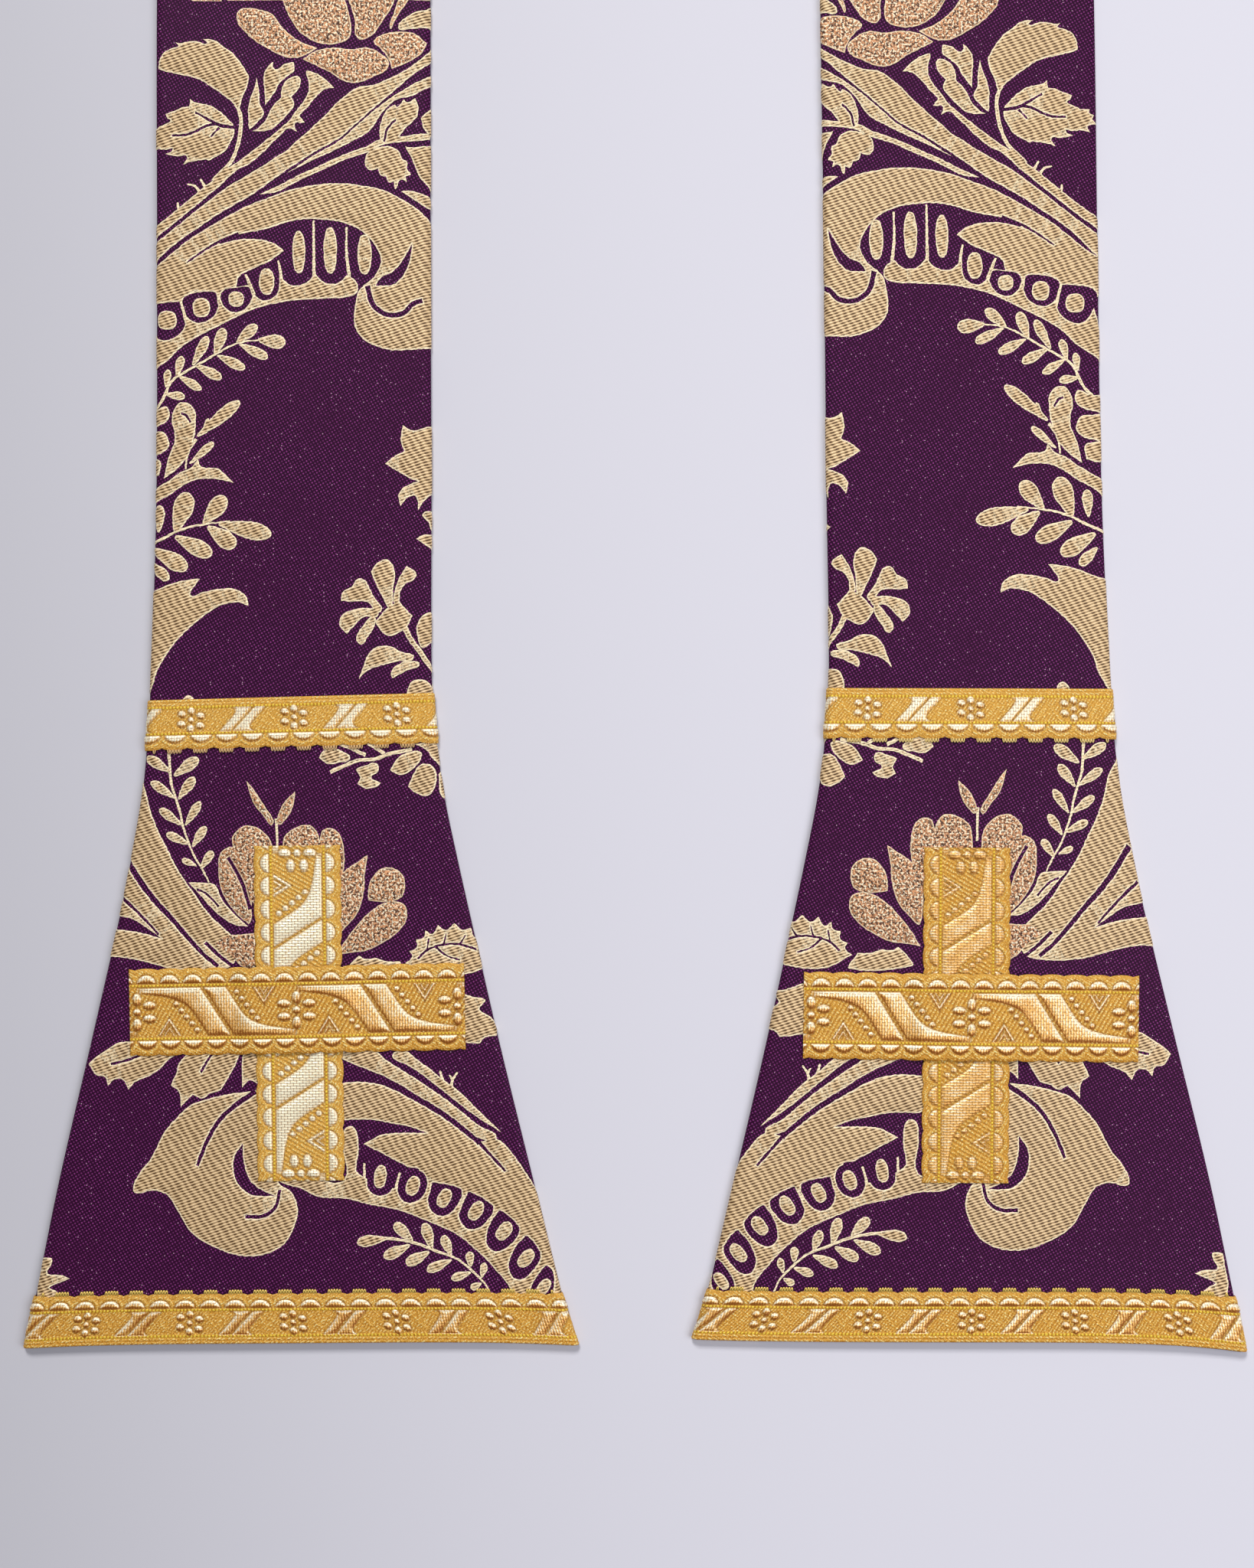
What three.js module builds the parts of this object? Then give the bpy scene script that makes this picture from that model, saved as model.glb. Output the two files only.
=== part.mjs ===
// A clergy stole of figured brocade, lying flat with its face up.
// Two long bands run up side by side from flared ends, and meet at a seam behind the neck.
// Each half is a brocade face with its edges turned under, a lining let in between the turnings,
// a narrow galloon across the band, a second one along the hem, and a cross of two wide galloons.
// Millimetres. X goes across the stole, Y runs from the hems up to the neck, Z is up.
// The origin is on the table, under the middle of the stole.
import * as THREE from "three";

// Cloth
const CLOTH_GAP = 0.3;
const LINING_THICK = 1.0;
const TURNING_WIDTH = 7.0;
const FACE_WALL = 1.6;
const RECESS_TOP = LINING_THICK + CLOTH_GAP;
const FACE_TOP = RECESS_TOP + FACE_WALL;
const FACE_CROWN = 0.4;
const EDGE_RADIUS_ACROSS = 2.2;
const EDGE_RADIUS_UP = FACE_TOP / 2;

// Plan of one half
const SPRING_HEIGHT = 1000;
const NECK_RISE = 122;
const NECK_HALF_WIDTH = 41;
const SEAM_HALF_GAP = 0.15;
const CORNER_REACH = 34;
const HEM_REACH = 110;

// Galloons
const GALLOON_THICK = 1.0;
const NARROW_WIDTH = 17.6;
const NARROW_PITCH = 9.3;
const NARROW_WAVE = 0.9;
const BAND_GALLOON_BASE = 219;
const HEM_GALLOON_BASE = 0.5;
const WRAP_ANGLE = 25;
const WIDE_WIDTH = 30.4;
const WIDE_PITCH = 8.44;
const WIDE_WAVE = 0.8;
const CROSS_SPAN = 122.5;
const CROSS_HEIGHT = 120;
const STEP_RUN = 7;
const STEP_CLEARANCE = 1;
const SCALLOP_POINTS = [0, 0.2, 0.5, 0.8];
const END_CLEARANCE = 0.5;

// The band at heights above the hem: half its width, and its centre line's distance from the middle.
const BAND_SECTIONS = [
  { height: 0, half: 101.2, centre: 122.2 },
  { height: 8, half: 99.0, centre: 122.8 },
  { height: 20, half: 95.9, centre: 123.2 },
  { height: 60, half: 86.8, centre: 123.8 },
  { height: 110, half: 74.8, centre: 123.8 },
  { height: 155, half: 64.5, centre: 123.5 },
  { height: 178, half: 59.6, centre: 123.6 },
  { height: 200, half: 55.4, centre: 123.8 },
  { height: 222, half: 52.8, centre: 124.1 },
  { height: 245, half: 51.4, centre: 124.1 },
  { height: 310, half: 50.4, centre: 122.7 },
  { height: 400, half: 50.1, centre: 122.1 },
  { height: 490, half: 50.1, centre: 121.5 },
  { height: 700, half: 48.0, centre: 119.6 },
  { height: SPRING_HEIGHT, half: 44.0, centre: 117.0 },
];

// What differs by hand between the two halves: how far the hem's corners droop, and how far all of
// the hem hangs lower and slopes down outwards; how far the band galloon is sewn on higher and
// slopes up outwards; how far the cross sits off its place, how far its arm is laid higher and its
// upright further out than that, and how far the arm and the upright are turned, in degrees.
const HALVES = [
  {
    name: "left",
    side: -1,
    outerDroop: 1.4,
    innerDroop: 1.8,
    hemDrop: 0,
    hemSlope: 0,
    bandRise: 0,
    bandSlope: -0.019,
    crossShift: -1.2,
    crossDrop: -1,
    armRise: 1.3,
    uprightShift: -0.7,
    armTurn: -0.7,
    uprightTurn: -0.3,
  },
  {
    name: "right",
    side: 1,
    outerDroop: 3.7,
    innerDroop: -0.8,
    hemDrop: 1.5,
    hemSlope: 0.9,
    bandRise: 1.4,
    bandSlope: -0.008,
    crossShift: -0.2,
    crossDrop: 1.6,
    armRise: -0.7,
    uprightShift: -1.8,
    armTurn: -1.1,
    uprightTurn: -0.8,
  },
];

const BROCADE = new THREE.MeshStandardMaterial({
  color: 0x4a1d5c,
  roughness: 0.6,
  metalness: 0.1,
});
const LINING = new THREE.MeshStandardMaterial({
  color: 0x3f1850,
  roughness: 0.75,
  metalness: 0,
});
const GALLOON = new THREE.MeshStandardMaterial({
  color: 0xd9a441,
  roughness: 0.4,
  metalness: 0.6,
});

const SAME_POINT = 1e-4;
const SPRING = BAND_SECTIONS.at(-1);
const lerp = THREE.MathUtils.lerp;
const radians = THREE.MathUtils.degToRad;

// One column of the section table at any height, as a smooth curve through its rows.
function sectionValue(column, height) {
  const rows = BAND_SECTIONS;
  const last = rows.length - 2;
  let i = 0;
  while (i < last && rows[i + 1].height < height) i += 1;
  const slope = (k) => {
    const a = rows[Math.max(k - 1, 0)];
    const b = rows[Math.min(k + 1, rows.length - 1)];
    return (b[column] - a[column]) / (b.height - a.height);
  };
  const [p, q] = [rows[i], rows[i + 1]];
  const run = q.height - p.height;
  const t = THREE.MathUtils.clamp((height - p.height) / run, 0, 1);
  const rise = t * t * (3 - 2 * t);
  return (
    lerp(p[column], q[column], rise) +
    run * (t * (1 - t) ** 2 * slope(i) - t * t * (1 - t) * slope(i + 1))
  );
}

// A cross section of the right half: its centre, the direction across it, and half its width.
function bandStation(height) {
  return {
    x: sectionValue("centre", height),
    y: height,
    acrossX: 1,
    acrossY: 0,
    half: sectionValue("half", height),
    height,
  };
}

// The arch behind the neck is a quarter of an ellipse, from the spring (0) to the seam (1).
function neckStation(part) {
  const angle = (part * Math.PI) / 2;
  const [cos, sin] = [Math.cos(angle), Math.sin(angle)];
  const normal = new THREE.Vector2(
    cos / SPRING.centre,
    sin / NECK_RISE,
  ).normalize();
  return {
    x: SPRING.centre * cos,
    y: SPRING_HEIGHT + NECK_RISE * sin,
    acrossX: normal.x,
    acrossY: normal.y,
    half: lerp(SPRING.half, NECK_HALF_WIDTH, part),
    height: SPRING_HEIGHT,
  };
}

// The hem's corners droop a little below its middle, and all of this dies away up the band.
function droop(station, across, hand) {
  const share = THREE.MathUtils.clamp(across / station.half, -1, 1);
  const corner = share > 0 ? hand.outerDroop : hand.innerDroop;
  const fade = Math.exp(-station.height / CORNER_REACH);
  const hemFade = Math.exp(-station.height / HEM_REACH);
  const hang = (hand.hemDrop + hand.hemSlope * share) * hemFade;
  return -corner * share ** 4 * fade - hang;
}

function place(station, across, z, hand) {
  return new THREE.Vector3(
    station.x + station.acrossX * across,
    station.y + station.acrossY * across + droop(station, across, hand),
    z,
  );
}

// The outer skin of a band's section, lifted off it: the crowned top, then round the folded edge.
// around is 0 at the middle of the top, 1 where the fold starts, and 2 where it is upright.
function skin(station, around, lift) {
  const flat = station.half - EDGE_RADIUS_ACROSS;
  const sign = Math.sign(around);
  const part = Math.abs(around);
  if (part <= 1) {
    const crown = FACE_CROWN * (1 - part * part);
    return { across: flat * around, z: FACE_TOP + crown + lift };
  }
  const angle = ((2 - part) * Math.PI) / 2;
  return {
    across: sign * (flat + (EDGE_RADIUS_ACROSS + lift) * Math.cos(angle)),
    z: EDGE_RADIUS_UP + (EDGE_RADIUS_UP + lift) * Math.sin(angle),
  };
}

// A closed solid through rings of equal length. Each end is closed by a fan round its middle,
// or, where the last section isn't convex, by that section cut into triangles.
function loft(rings, lastSection) {
  const count = rings[0].length;
  const points = rings.flat();
  const faces = [];
  for (let k = 0; k + 1 < rings.length; k += 1) {
    for (let i = 0; i < count; i += 1) {
      const j = (i + 1) % count;
      const [a, b] = [k * count + i, k * count + j];
      const [c, d] = [a + count, b + count];
      faces.push([a, b, d], [a, d, c]);
    }
  }
  const end = (rings.length - 1) * count;
  faces.push(...fan(points, rings[0], 0).map(([a, b, c]) => [c, b, a]));
  if (lastSection) {
    const clockwise = THREE.ShapeUtils.isClockWise(lastSection);
    for (const corners of THREE.ShapeUtils.triangulateShape(lastSection, [])) {
      if (clockwise) corners.reverse();
      faces.push(corners.map((i) => end + i));
    }
  } else {
    faces.push(...fan(points, rings.at(-1), end));
  }
  return solid(points, faces);
}

// Triangles from a ring's edges to its middle, which joins the list of points.
function fan(points, ring, first) {
  const middle = new THREE.Vector3();
  for (const p of ring) middle.addScaledVector(p, 1 / ring.length);
  points.push(middle);
  const hub = points.length - 1;
  return ring.map((_, i) => [hub, first + i, first + ((i + 1) % ring.length)]);
}

// Leaves out faces two of whose corners are one point, and turns the shell to face outwards.
function solid(points, faces) {
  const corners = [];
  let volume = 0;
  for (const face of faces) {
    const [a, b, c] = face.map((i) => points[i]);
    const sides = [a.distanceTo(b), b.distanceTo(c), c.distanceTo(a)];
    if (Math.min(...sides) < SAME_POINT) continue;
    corners.push([a, b, c]);
    volume += a.dot(b.clone().cross(c));
  }
  const turned = volume < 0 ? corners.map(([a, b, c]) => [a, c, b]) : corners;
  const geometry = new THREE.BufferGeometry().setFromPoints(turned.flat());
  geometry.computeVertexNormals();
  return geometry;
}

// Heights of the sections of a half: close at the rounded hem and in the flare, wide above it.
const HEM_ROUND = [15, 50, 90].map((angle) => ({
  height: EDGE_RADIUS_UP * (1 - Math.cos(radians(angle))),
  share: Math.sin(radians(angle)),
}));
const BAND_HEIGHTS = [
  TURNING_WIDTH,
  TURNING_WIDTH + CLOTH_GAP,
  18,
  40,
  70,
  100,
  130,
  152,
  170,
  184,
  198,
  212,
  228,
  246,
  270,
  310,
  370,
  440,
  520,
  600,
  700,
  800,
  900,
  SPRING_HEIGHT,
];
const NECK_STEPS = 12;

// The seam is a straight cut beside the middle, so the last section stops just short of it.
const SEAM_PART =
  1 - Math.asin(SEAM_HALF_GAP / SPRING.centre) / (Math.PI / 2);
const neckStations = Array.from({ length: NECK_STEPS }, (_, i) =>
  neckStation((SEAM_PART * (i + 1)) / NECK_STEPS),
);

// The face's section: the crowned top, the two folded edges, and the turnings round the recess.
function faceSection(station, share, recessed) {
  const half = station.half - EDGE_RADIUS_UP * (1 - share);
  const middle = EDGE_RADIUS_UP;
  const up = EDGE_RADIUS_UP * share;
  const flat = half - EDGE_RADIUS_ACROSS;
  const inner = station.half - TURNING_WIDTH;
  const recess = recessed ? RECESS_TOP : middle - up;
  const top = [-1, -0.5, 0, 0.5].map((t) => ({
    across: t * flat,
    z: middle + up + FACE_CROWN * share * (1 - t * t),
  }));
  const fold = (sign, angles) =>
    angles.map((angle) => ({
      across: sign * (flat + EDGE_RADIUS_ACROSS * Math.cos(radians(angle))),
      z: middle + up * Math.sin(radians(angle)),
    }));
  return [
    ...top,
    ...fold(1, [90, 45, 0, -45, -90]),
    { across: inner, z: middle - up },
    { across: inner, z: recess },
    { across: -inner, z: recess },
    { across: -inner, z: middle - up },
    ...fold(-1, [-90, -45, 0, 45]),
  ];
}

function sectionRing(station, section, hand) {
  return section.map((p) => place(station, p.across, p.z, hand));
}

function brocadeFace(hand) {
  const rounded = HEM_ROUND.map(({ height, share }) => {
    const station = bandStation(height);
    return sectionRing(station, faceSection(station, share, false), hand);
  });
  const band = BAND_HEIGHTS.map((height) => {
    const station = bandStation(height);
    const recessed = height > TURNING_WIDTH;
    return sectionRing(station, faceSection(station, 1, recessed), hand);
  });
  const neck = neckStations.map((station) =>
    sectionRing(station, faceSection(station, 1, true), hand),
  );
  const last = faceSection(neckStations.at(-1), 1, true);
  return loft(
    [...rounded, ...band, ...neck],
    last.map((p) => new THREE.Vector2(p.across, p.z)),
  );
}

// The lining fills the recess, a gap clear of the turnings all round.
function lining(hand) {
  const start = bandStation(TURNING_WIDTH + 2 * CLOTH_GAP);
  const stations = [
    start,
    ...BAND_HEIGHTS.filter((h) => h > start.height).map(bandStation),
    ...neckStations,
  ];
  const section = (station) => {
    const half = station.half - TURNING_WIDTH - CLOTH_GAP;
    return [
      { across: -half, z: 0 },
      { across: half, z: 0 },
      { across: half, z: LINING_THICK },
      { across: -half, z: LINING_THICK },
    ];
  };
  const rings = stations.map((s) => sectionRing(s, section(s), hand));
  return loft(rings);
}

// How far a scalloped edge stands out, along the galloon.
function scallop(along, pitch, wave) {
  return wave * Math.sqrt(Math.abs(Math.sin((Math.PI * along) / pitch)));
}

// Places along a galloon where its scallops are drawn: the notch, both shoulders and the crest.
function scallopStops(length, pitch) {
  const stops = [];
  const first = -Math.ceil(length / 2 / pitch);
  for (let k = first; k < -first; k += 1) {
    for (const part of SCALLOP_POINTS) stops.push((k + part) * pitch);
  }
  const inside = stops.filter((s) => Math.abs(s) < length / 2 - END_CLEARANCE);
  return [-length / 2, ...inside, length / 2];
}

// A narrow galloon across a band, wrapped round both folded edges, scalloped along one side.
// scallopSide is 1 where the scallops point up the band and -1 where they point down.
function narrowGalloon(base, scallopSide, hand) {
  const slope = scallopSide < 0 ? hand.bandSlope : 0;
  const start = base + (scallopSide < 0 ? hand.bandRise : 0);
  const station = bandStation(start + NARROW_WIDTH / 2);
  const flat = station.half - EDGE_RADIUS_ACROSS;
  const wrap = 2 + WRAP_ANGLE / 90;
  const fold = [1.25, 1.5, 1.75, 2, wrap];
  const columns = [
    ...fold.map((a) => -a).reverse(),
    ...scallopStops(2 * flat, NARROW_PITCH).map((s) => s / flat),
    ...fold,
  ];
  const rings = columns.map((around) => {
    const along = THREE.MathUtils.clamp(around, -1, 1) * flat;
    const wave = scallop(along, NARROW_PITCH, NARROW_WAVE);
    const sloped = start + slope * flat * THREE.MathUtils.clamp(around, -1.2, 1.2);
    const low = sloped - (scallopSide < 0 ? wave : 0);
    const high = sloped + NARROW_WIDTH + (scallopSide > 0 ? wave : 0);
    const corner = (height, lift) => {
      const at = bandStation(height);
      const p = skin(at, around, lift);
      return place(at, p.across, p.z, hand);
    };
    const [under, over] = [CLOTH_GAP, CLOTH_GAP + GALLOON_THICK];
    return [
      corner(low, under),
      corner(high, under),
      corner(high, over),
      corner(low, over),
    ];
  });
  return loft(rings);
}

// Height of the face's crowned top under a point of the plan, on the right half.
function topUnder(x, y) {
  const station = bandStation(y);
  const flat = station.half - EDGE_RADIUS_ACROSS;
  return skin(station, (x - station.x) / flat, 0).z;
}

// A wide galloon of the cross, scalloped along both sides. The arm is laid over the upright,
// so it steps up where it crosses it.
function wideGalloon(hand, isArm) {
  const shift = hand.crossShift + (isArm ? 0 : hand.uprightShift);
  const rise = (isArm ? hand.armRise : 0) - hand.crossDrop;
  const centreX = bandStation(CROSS_HEIGHT).x + shift;
  const centreY = CROSS_HEIGHT + rise;
  const turn = radians(isArm ? hand.armTurn : 90 + hand.uprightTurn);
  const along = new THREE.Vector2(Math.cos(turn), Math.sin(turn));
  const upright = GALLOON_THICK + CLOTH_GAP;
  const plateau = WIDE_WIDTH / 2 + WIDE_WAVE + STEP_CLEARANCE;
  const stops = scallopStops(CROSS_SPAN, WIDE_PITCH);
  const rings = stops.map((s) => {
    const half = WIDE_WIDTH / 2 + scallop(s, WIDE_PITCH, WIDE_WAVE);
    const ramp = 1 - (Math.abs(s) - plateau) / STEP_RUN;
    const step = isArm ? upright * THREE.MathUtils.smoothstep(ramp, 0, 1) : 0;
    const corner = (across, lift) => {
      const x = centreX + along.x * s - along.y * across;
      const y = centreY + along.y * s + along.x * across;
      return new THREE.Vector3(x, y, topUnder(x, y) + lift + step);
    };
    const [under, over] = [CLOTH_GAP, CLOTH_GAP + GALLOON_THICK];
    return [
      corner(-half, under),
      corner(half, under),
      corner(half, over),
      corner(-half, over),
    ];
  });
  return loft(rings);
}

// The right half is drawn; a left piece is the same one mirrored across the middle.
function piece(name, geometry, material, hand) {
  let shown = geometry;
  if (hand.side < 0) {
    const at = geometry.getAttribute("position");
    const points = [];
    for (let i = 0; i < at.count; i += 3) {
      for (const k of [i, i + 2, i + 1]) {
        points.push(new THREE.Vector3(-at.getX(k), at.getY(k), at.getZ(k)));
      }
    }
    shown = new THREE.BufferGeometry().setFromPoints(points);
    shown.computeVertexNormals();
  }
  const mesh = new THREE.Mesh(shown, material);
  mesh.name = `${hand.name}_${name}`;
  return mesh;
}

const stole = new THREE.Group();
for (const hand of HALVES) {
  stole.add(
    piece("face", brocadeFace(hand), BROCADE, hand),
    piece("lining", lining(hand), LINING, hand),
    piece("hem_galloon", narrowGalloon(HEM_GALLOON_BASE, 1, hand), GALLOON, hand),
    piece("band_galloon", narrowGalloon(BAND_GALLOON_BASE, -1, hand), GALLOON, hand),
    piece("cross_upright", wideGalloon(hand, false), GALLOON, hand),
    piece("cross_arm", wideGalloon(hand, true), GALLOON, hand),
  );
}

const box = new THREE.Box3().setFromObject(stole);
const centre = box.getCenter(new THREE.Vector3());
stole.position.set(-centre.x, -centre.y, 0);

export default stole;
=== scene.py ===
"""A clergy stole of figured brocade, laid flat with its face up.

Two mirrored halves, each a brocade face turned over a purple lining, with a narrow galloon across
the band and along the hem, and a cross of two wide galloons. Drawings are in millimetres: X across
the stole, Y up from the hem, Z up off the table. Blender gets them in metres.
"""

import math
import random

import bmesh
import bpy
import numpy as np
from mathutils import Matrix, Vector
from mathutils.geometry import delaunay_2d_cdt, tessellate_polygon
from mathutils.kdtree import KDTree


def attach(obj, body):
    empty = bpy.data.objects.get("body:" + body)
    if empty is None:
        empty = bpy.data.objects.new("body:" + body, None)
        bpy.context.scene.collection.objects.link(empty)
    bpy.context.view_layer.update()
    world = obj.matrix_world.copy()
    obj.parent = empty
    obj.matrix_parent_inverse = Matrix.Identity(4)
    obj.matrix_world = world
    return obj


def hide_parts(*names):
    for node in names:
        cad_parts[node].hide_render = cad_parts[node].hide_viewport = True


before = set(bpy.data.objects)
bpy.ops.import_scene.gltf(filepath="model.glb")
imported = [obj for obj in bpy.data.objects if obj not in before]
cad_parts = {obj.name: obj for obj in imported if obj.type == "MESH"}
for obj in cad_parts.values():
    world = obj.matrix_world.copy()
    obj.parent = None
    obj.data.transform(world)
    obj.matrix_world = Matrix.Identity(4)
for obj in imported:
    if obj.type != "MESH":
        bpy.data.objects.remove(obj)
bpy.context.view_layer.update()
bpy.ops.object.select_all(action="DESELECT")

MM = 0.001
HEM_TO_ORIGIN = 578.5611

# The solids' own measures
FACE_TOP = 2.9
FACE_CROWN = 0.4
EDGE_ACROSS = 2.2
EDGE_UP = 1.45
RECESS_TOP = 1.3
TURNING = 7.0
LINING_GAP = 0.3
LINING_THICK = 1.0
SPRING_HEIGHT = 1000.0
SPRING_CENTRE = 117.0
NECK_RISE = 122.0
SPRING_HALF = 44.0
NECK_HALF = 41.0
NECK_RUN = 188.0
SEAM_HALF_GAP = 0.15
CORNER_REACH = 34.0
HEM_REACH = 110.0
GALLOON_LIFT = 0.3
WIDE_WIDTH = 30.4
WIDE_PITCH = 8.44
WIDE_WAVE = 0.8
CROSS_SPAN = 122.5
CROSS_HEIGHT = 120.0
NARROW_WIDTH = 17.6
NARROW_PITCH = 9.3
NARROW_WAVE = 0.9
BAND_GALLOON_BASE = 219.0
HEM_GALLOON_BASE = 0.5
WRAP = 2 + 25 / 90

# The band at heights above the hem: half its width, and its centre line's distance from the middle.
SECTIONS = np.array(
    [
        (0, 101.2, 122.2),
        (8, 99.0, 122.8),
        (20, 95.9, 123.2),
        (60, 86.8, 123.8),
        (110, 74.8, 123.8),
        (155, 64.5, 123.5),
        (178, 59.6, 123.6),
        (200, 55.4, 123.8),
        (222, 52.8, 124.1),
        (245, 51.4, 124.1),
        (310, 50.4, 122.7),
        (400, 50.1, 122.1),
        (490, 50.1, 121.5),
        (700, 48.0, 119.6),
        (SPRING_HEIGHT, SPRING_HALF, SPRING_CENTRE),
    ]
)

# What the hand does differently on each half, where its galloons start in their pattern, and how
# much painted highlight its upright's floats get. The brocade's figure lies further in and up on
# the right half: by so much at the hem, and so much more for each millimetre above it.
HALVES = {
    "left": {
        "side": -1,
        "outer_droop": 1.4,
        "inner_droop": 1.8,
        "hem_drop": 0.0,
        "hem_slope": 0.0,
        "band_rise": 0.0,
        "band_slope": -0.019,
        "cross_shift": -1.2,
        "cross_drop": -1.0,
        "arm_rise": 1.3,
        "upright_shift": -0.7,
        "arm_turn": -0.7,
        "upright_turn": -0.3,
        # Painted highlight of this half's upright floats: high, so they are painted pale.
        "upright_painted_light": 0.92,
        "figure_in": (0.0, 0.0),
        "figure_up": (0.0, 0.0),
        "band_phase": 1.3,
        "hem_phase": -2.0,
    },
    "right": {
        "side": 1,
        "outer_droop": 3.7,
        "inner_droop": -0.8,
        "hem_drop": 1.5,
        "hem_slope": 0.9,
        "band_rise": 1.4,
        "band_slope": -0.008,
        "cross_shift": -0.2,
        "cross_drop": 1.6,
        "arm_rise": -0.7,
        "upright_shift": -1.8,
        "arm_turn": -1.1,
        "upright_turn": -0.8,
        # Painted highlight of this half's upright floats: lower, so they are painted browner.
        "upright_painted_light": 0.5,
        "figure_in": (1.5, 0.0087),
        "figure_up": (1.0, 0.0078),
        "band_phase": 0.0,
        "hem_phase": 0.0,
    },
}


def section_value(column, height):
    """One column of the section table at any height, as a smooth curve through its rows."""
    height = np.asarray(height, float)
    heights, values = SECTIONS[:, 0], SECTIONS[:, column]
    last = len(heights) - 1
    low = np.maximum(np.arange(last + 1) - 1, 0)
    high = np.minimum(np.arange(last + 1) + 1, last)
    slopes = (values[high] - values[low]) / (heights[high] - heights[low])
    i = np.minimum(np.searchsorted(heights[1:], height, side="left"), last - 1)
    run = heights[i + 1] - heights[i]
    t = np.clip((height - heights[i]) / run, 0, 1)
    rise = t * t * (3 - 2 * t)
    curve = t * (1 - t) ** 2 * slopes[i] - t * t * (1 - t) * slopes[i + 1]
    return values[i] + (values[i + 1] - values[i]) * rise + run * curve


class Stations:
    """Cross sections of the right half at runs along it: up the band, then round the neck."""

    def __init__(self, run):
        run = np.asarray(run, float)
        part = np.clip((run - SPRING_HEIGHT) / NECK_RUN, 0, 1)
        angle = part * math.pi / 2
        neck = run > SPRING_HEIGHT
        cos, sin = np.cos(angle), np.sin(angle)
        length = np.hypot(cos / SPRING_CENTRE, sin / NECK_RISE)
        self.across_x = np.where(neck, cos / SPRING_CENTRE / length, 1)
        self.across_y = np.where(neck, sin / NECK_RISE / length, 0)
        self.x = np.where(neck, SPRING_CENTRE * cos, section_value(2, run))
        self.y = np.where(neck, SPRING_HEIGHT + NECK_RISE * sin, run)
        width = SPRING_HALF + (NECK_HALF - SPRING_HALF) * part
        self.half = np.where(neck, width, section_value(1, run))
        self.height = np.minimum(run, SPRING_HEIGHT)


def place(stations, across, z, hand):
    """Points of one half, in metres in the part's frame. Its hem hangs a little uneven."""
    share = np.clip(across / stations.half, -1, 1)
    corner = np.where(share > 0, hand["outer_droop"], hand["inner_droop"])
    hang = (hand["hem_drop"] + hand["hem_slope"] * share) * np.exp(-stations.height / HEM_REACH)
    droop = -corner * share**4 * np.exp(-stations.height / CORNER_REACH) - hang
    x = hand["side"] * (stations.x + stations.across_x * across)
    y = stations.y + stations.across_y * across + droop - HEM_TO_ORIGIN
    return np.stack(np.broadcast_arrays(x * MM, y * MM, np.asarray(z) * MM), axis=-1)


def run_and_across(x, y):
    """Where points of the plan lie along a half and across it."""
    run, across = y.copy(), x - section_value(2, y)
    up = y > SPRING_HEIGHT
    if up.any():
        px, py = x[up], y[up] - SPRING_HEIGHT
        angle = np.arctan2(py / NECK_RISE, px / SPRING_CENTRE)
        for _ in range(14):
            cos, sin = np.cos(angle), np.sin(angle)
            dx, dy = px - SPRING_CENTRE * cos, py - NECK_RISE * sin
            along = -dx * SPRING_CENTRE * sin + dy * NECK_RISE * cos
            angle = angle + along / ((SPRING_CENTRE * sin) ** 2 + (NECK_RISE * cos) ** 2)
        run[up] = SPRING_HEIGHT + NECK_RUN * angle / (math.pi / 2)
        across[up] = np.hypot(dx, dy) * np.sign(px * cos + py * sin - SPRING_CENTRE * 1.02)
    return run, across
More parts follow.
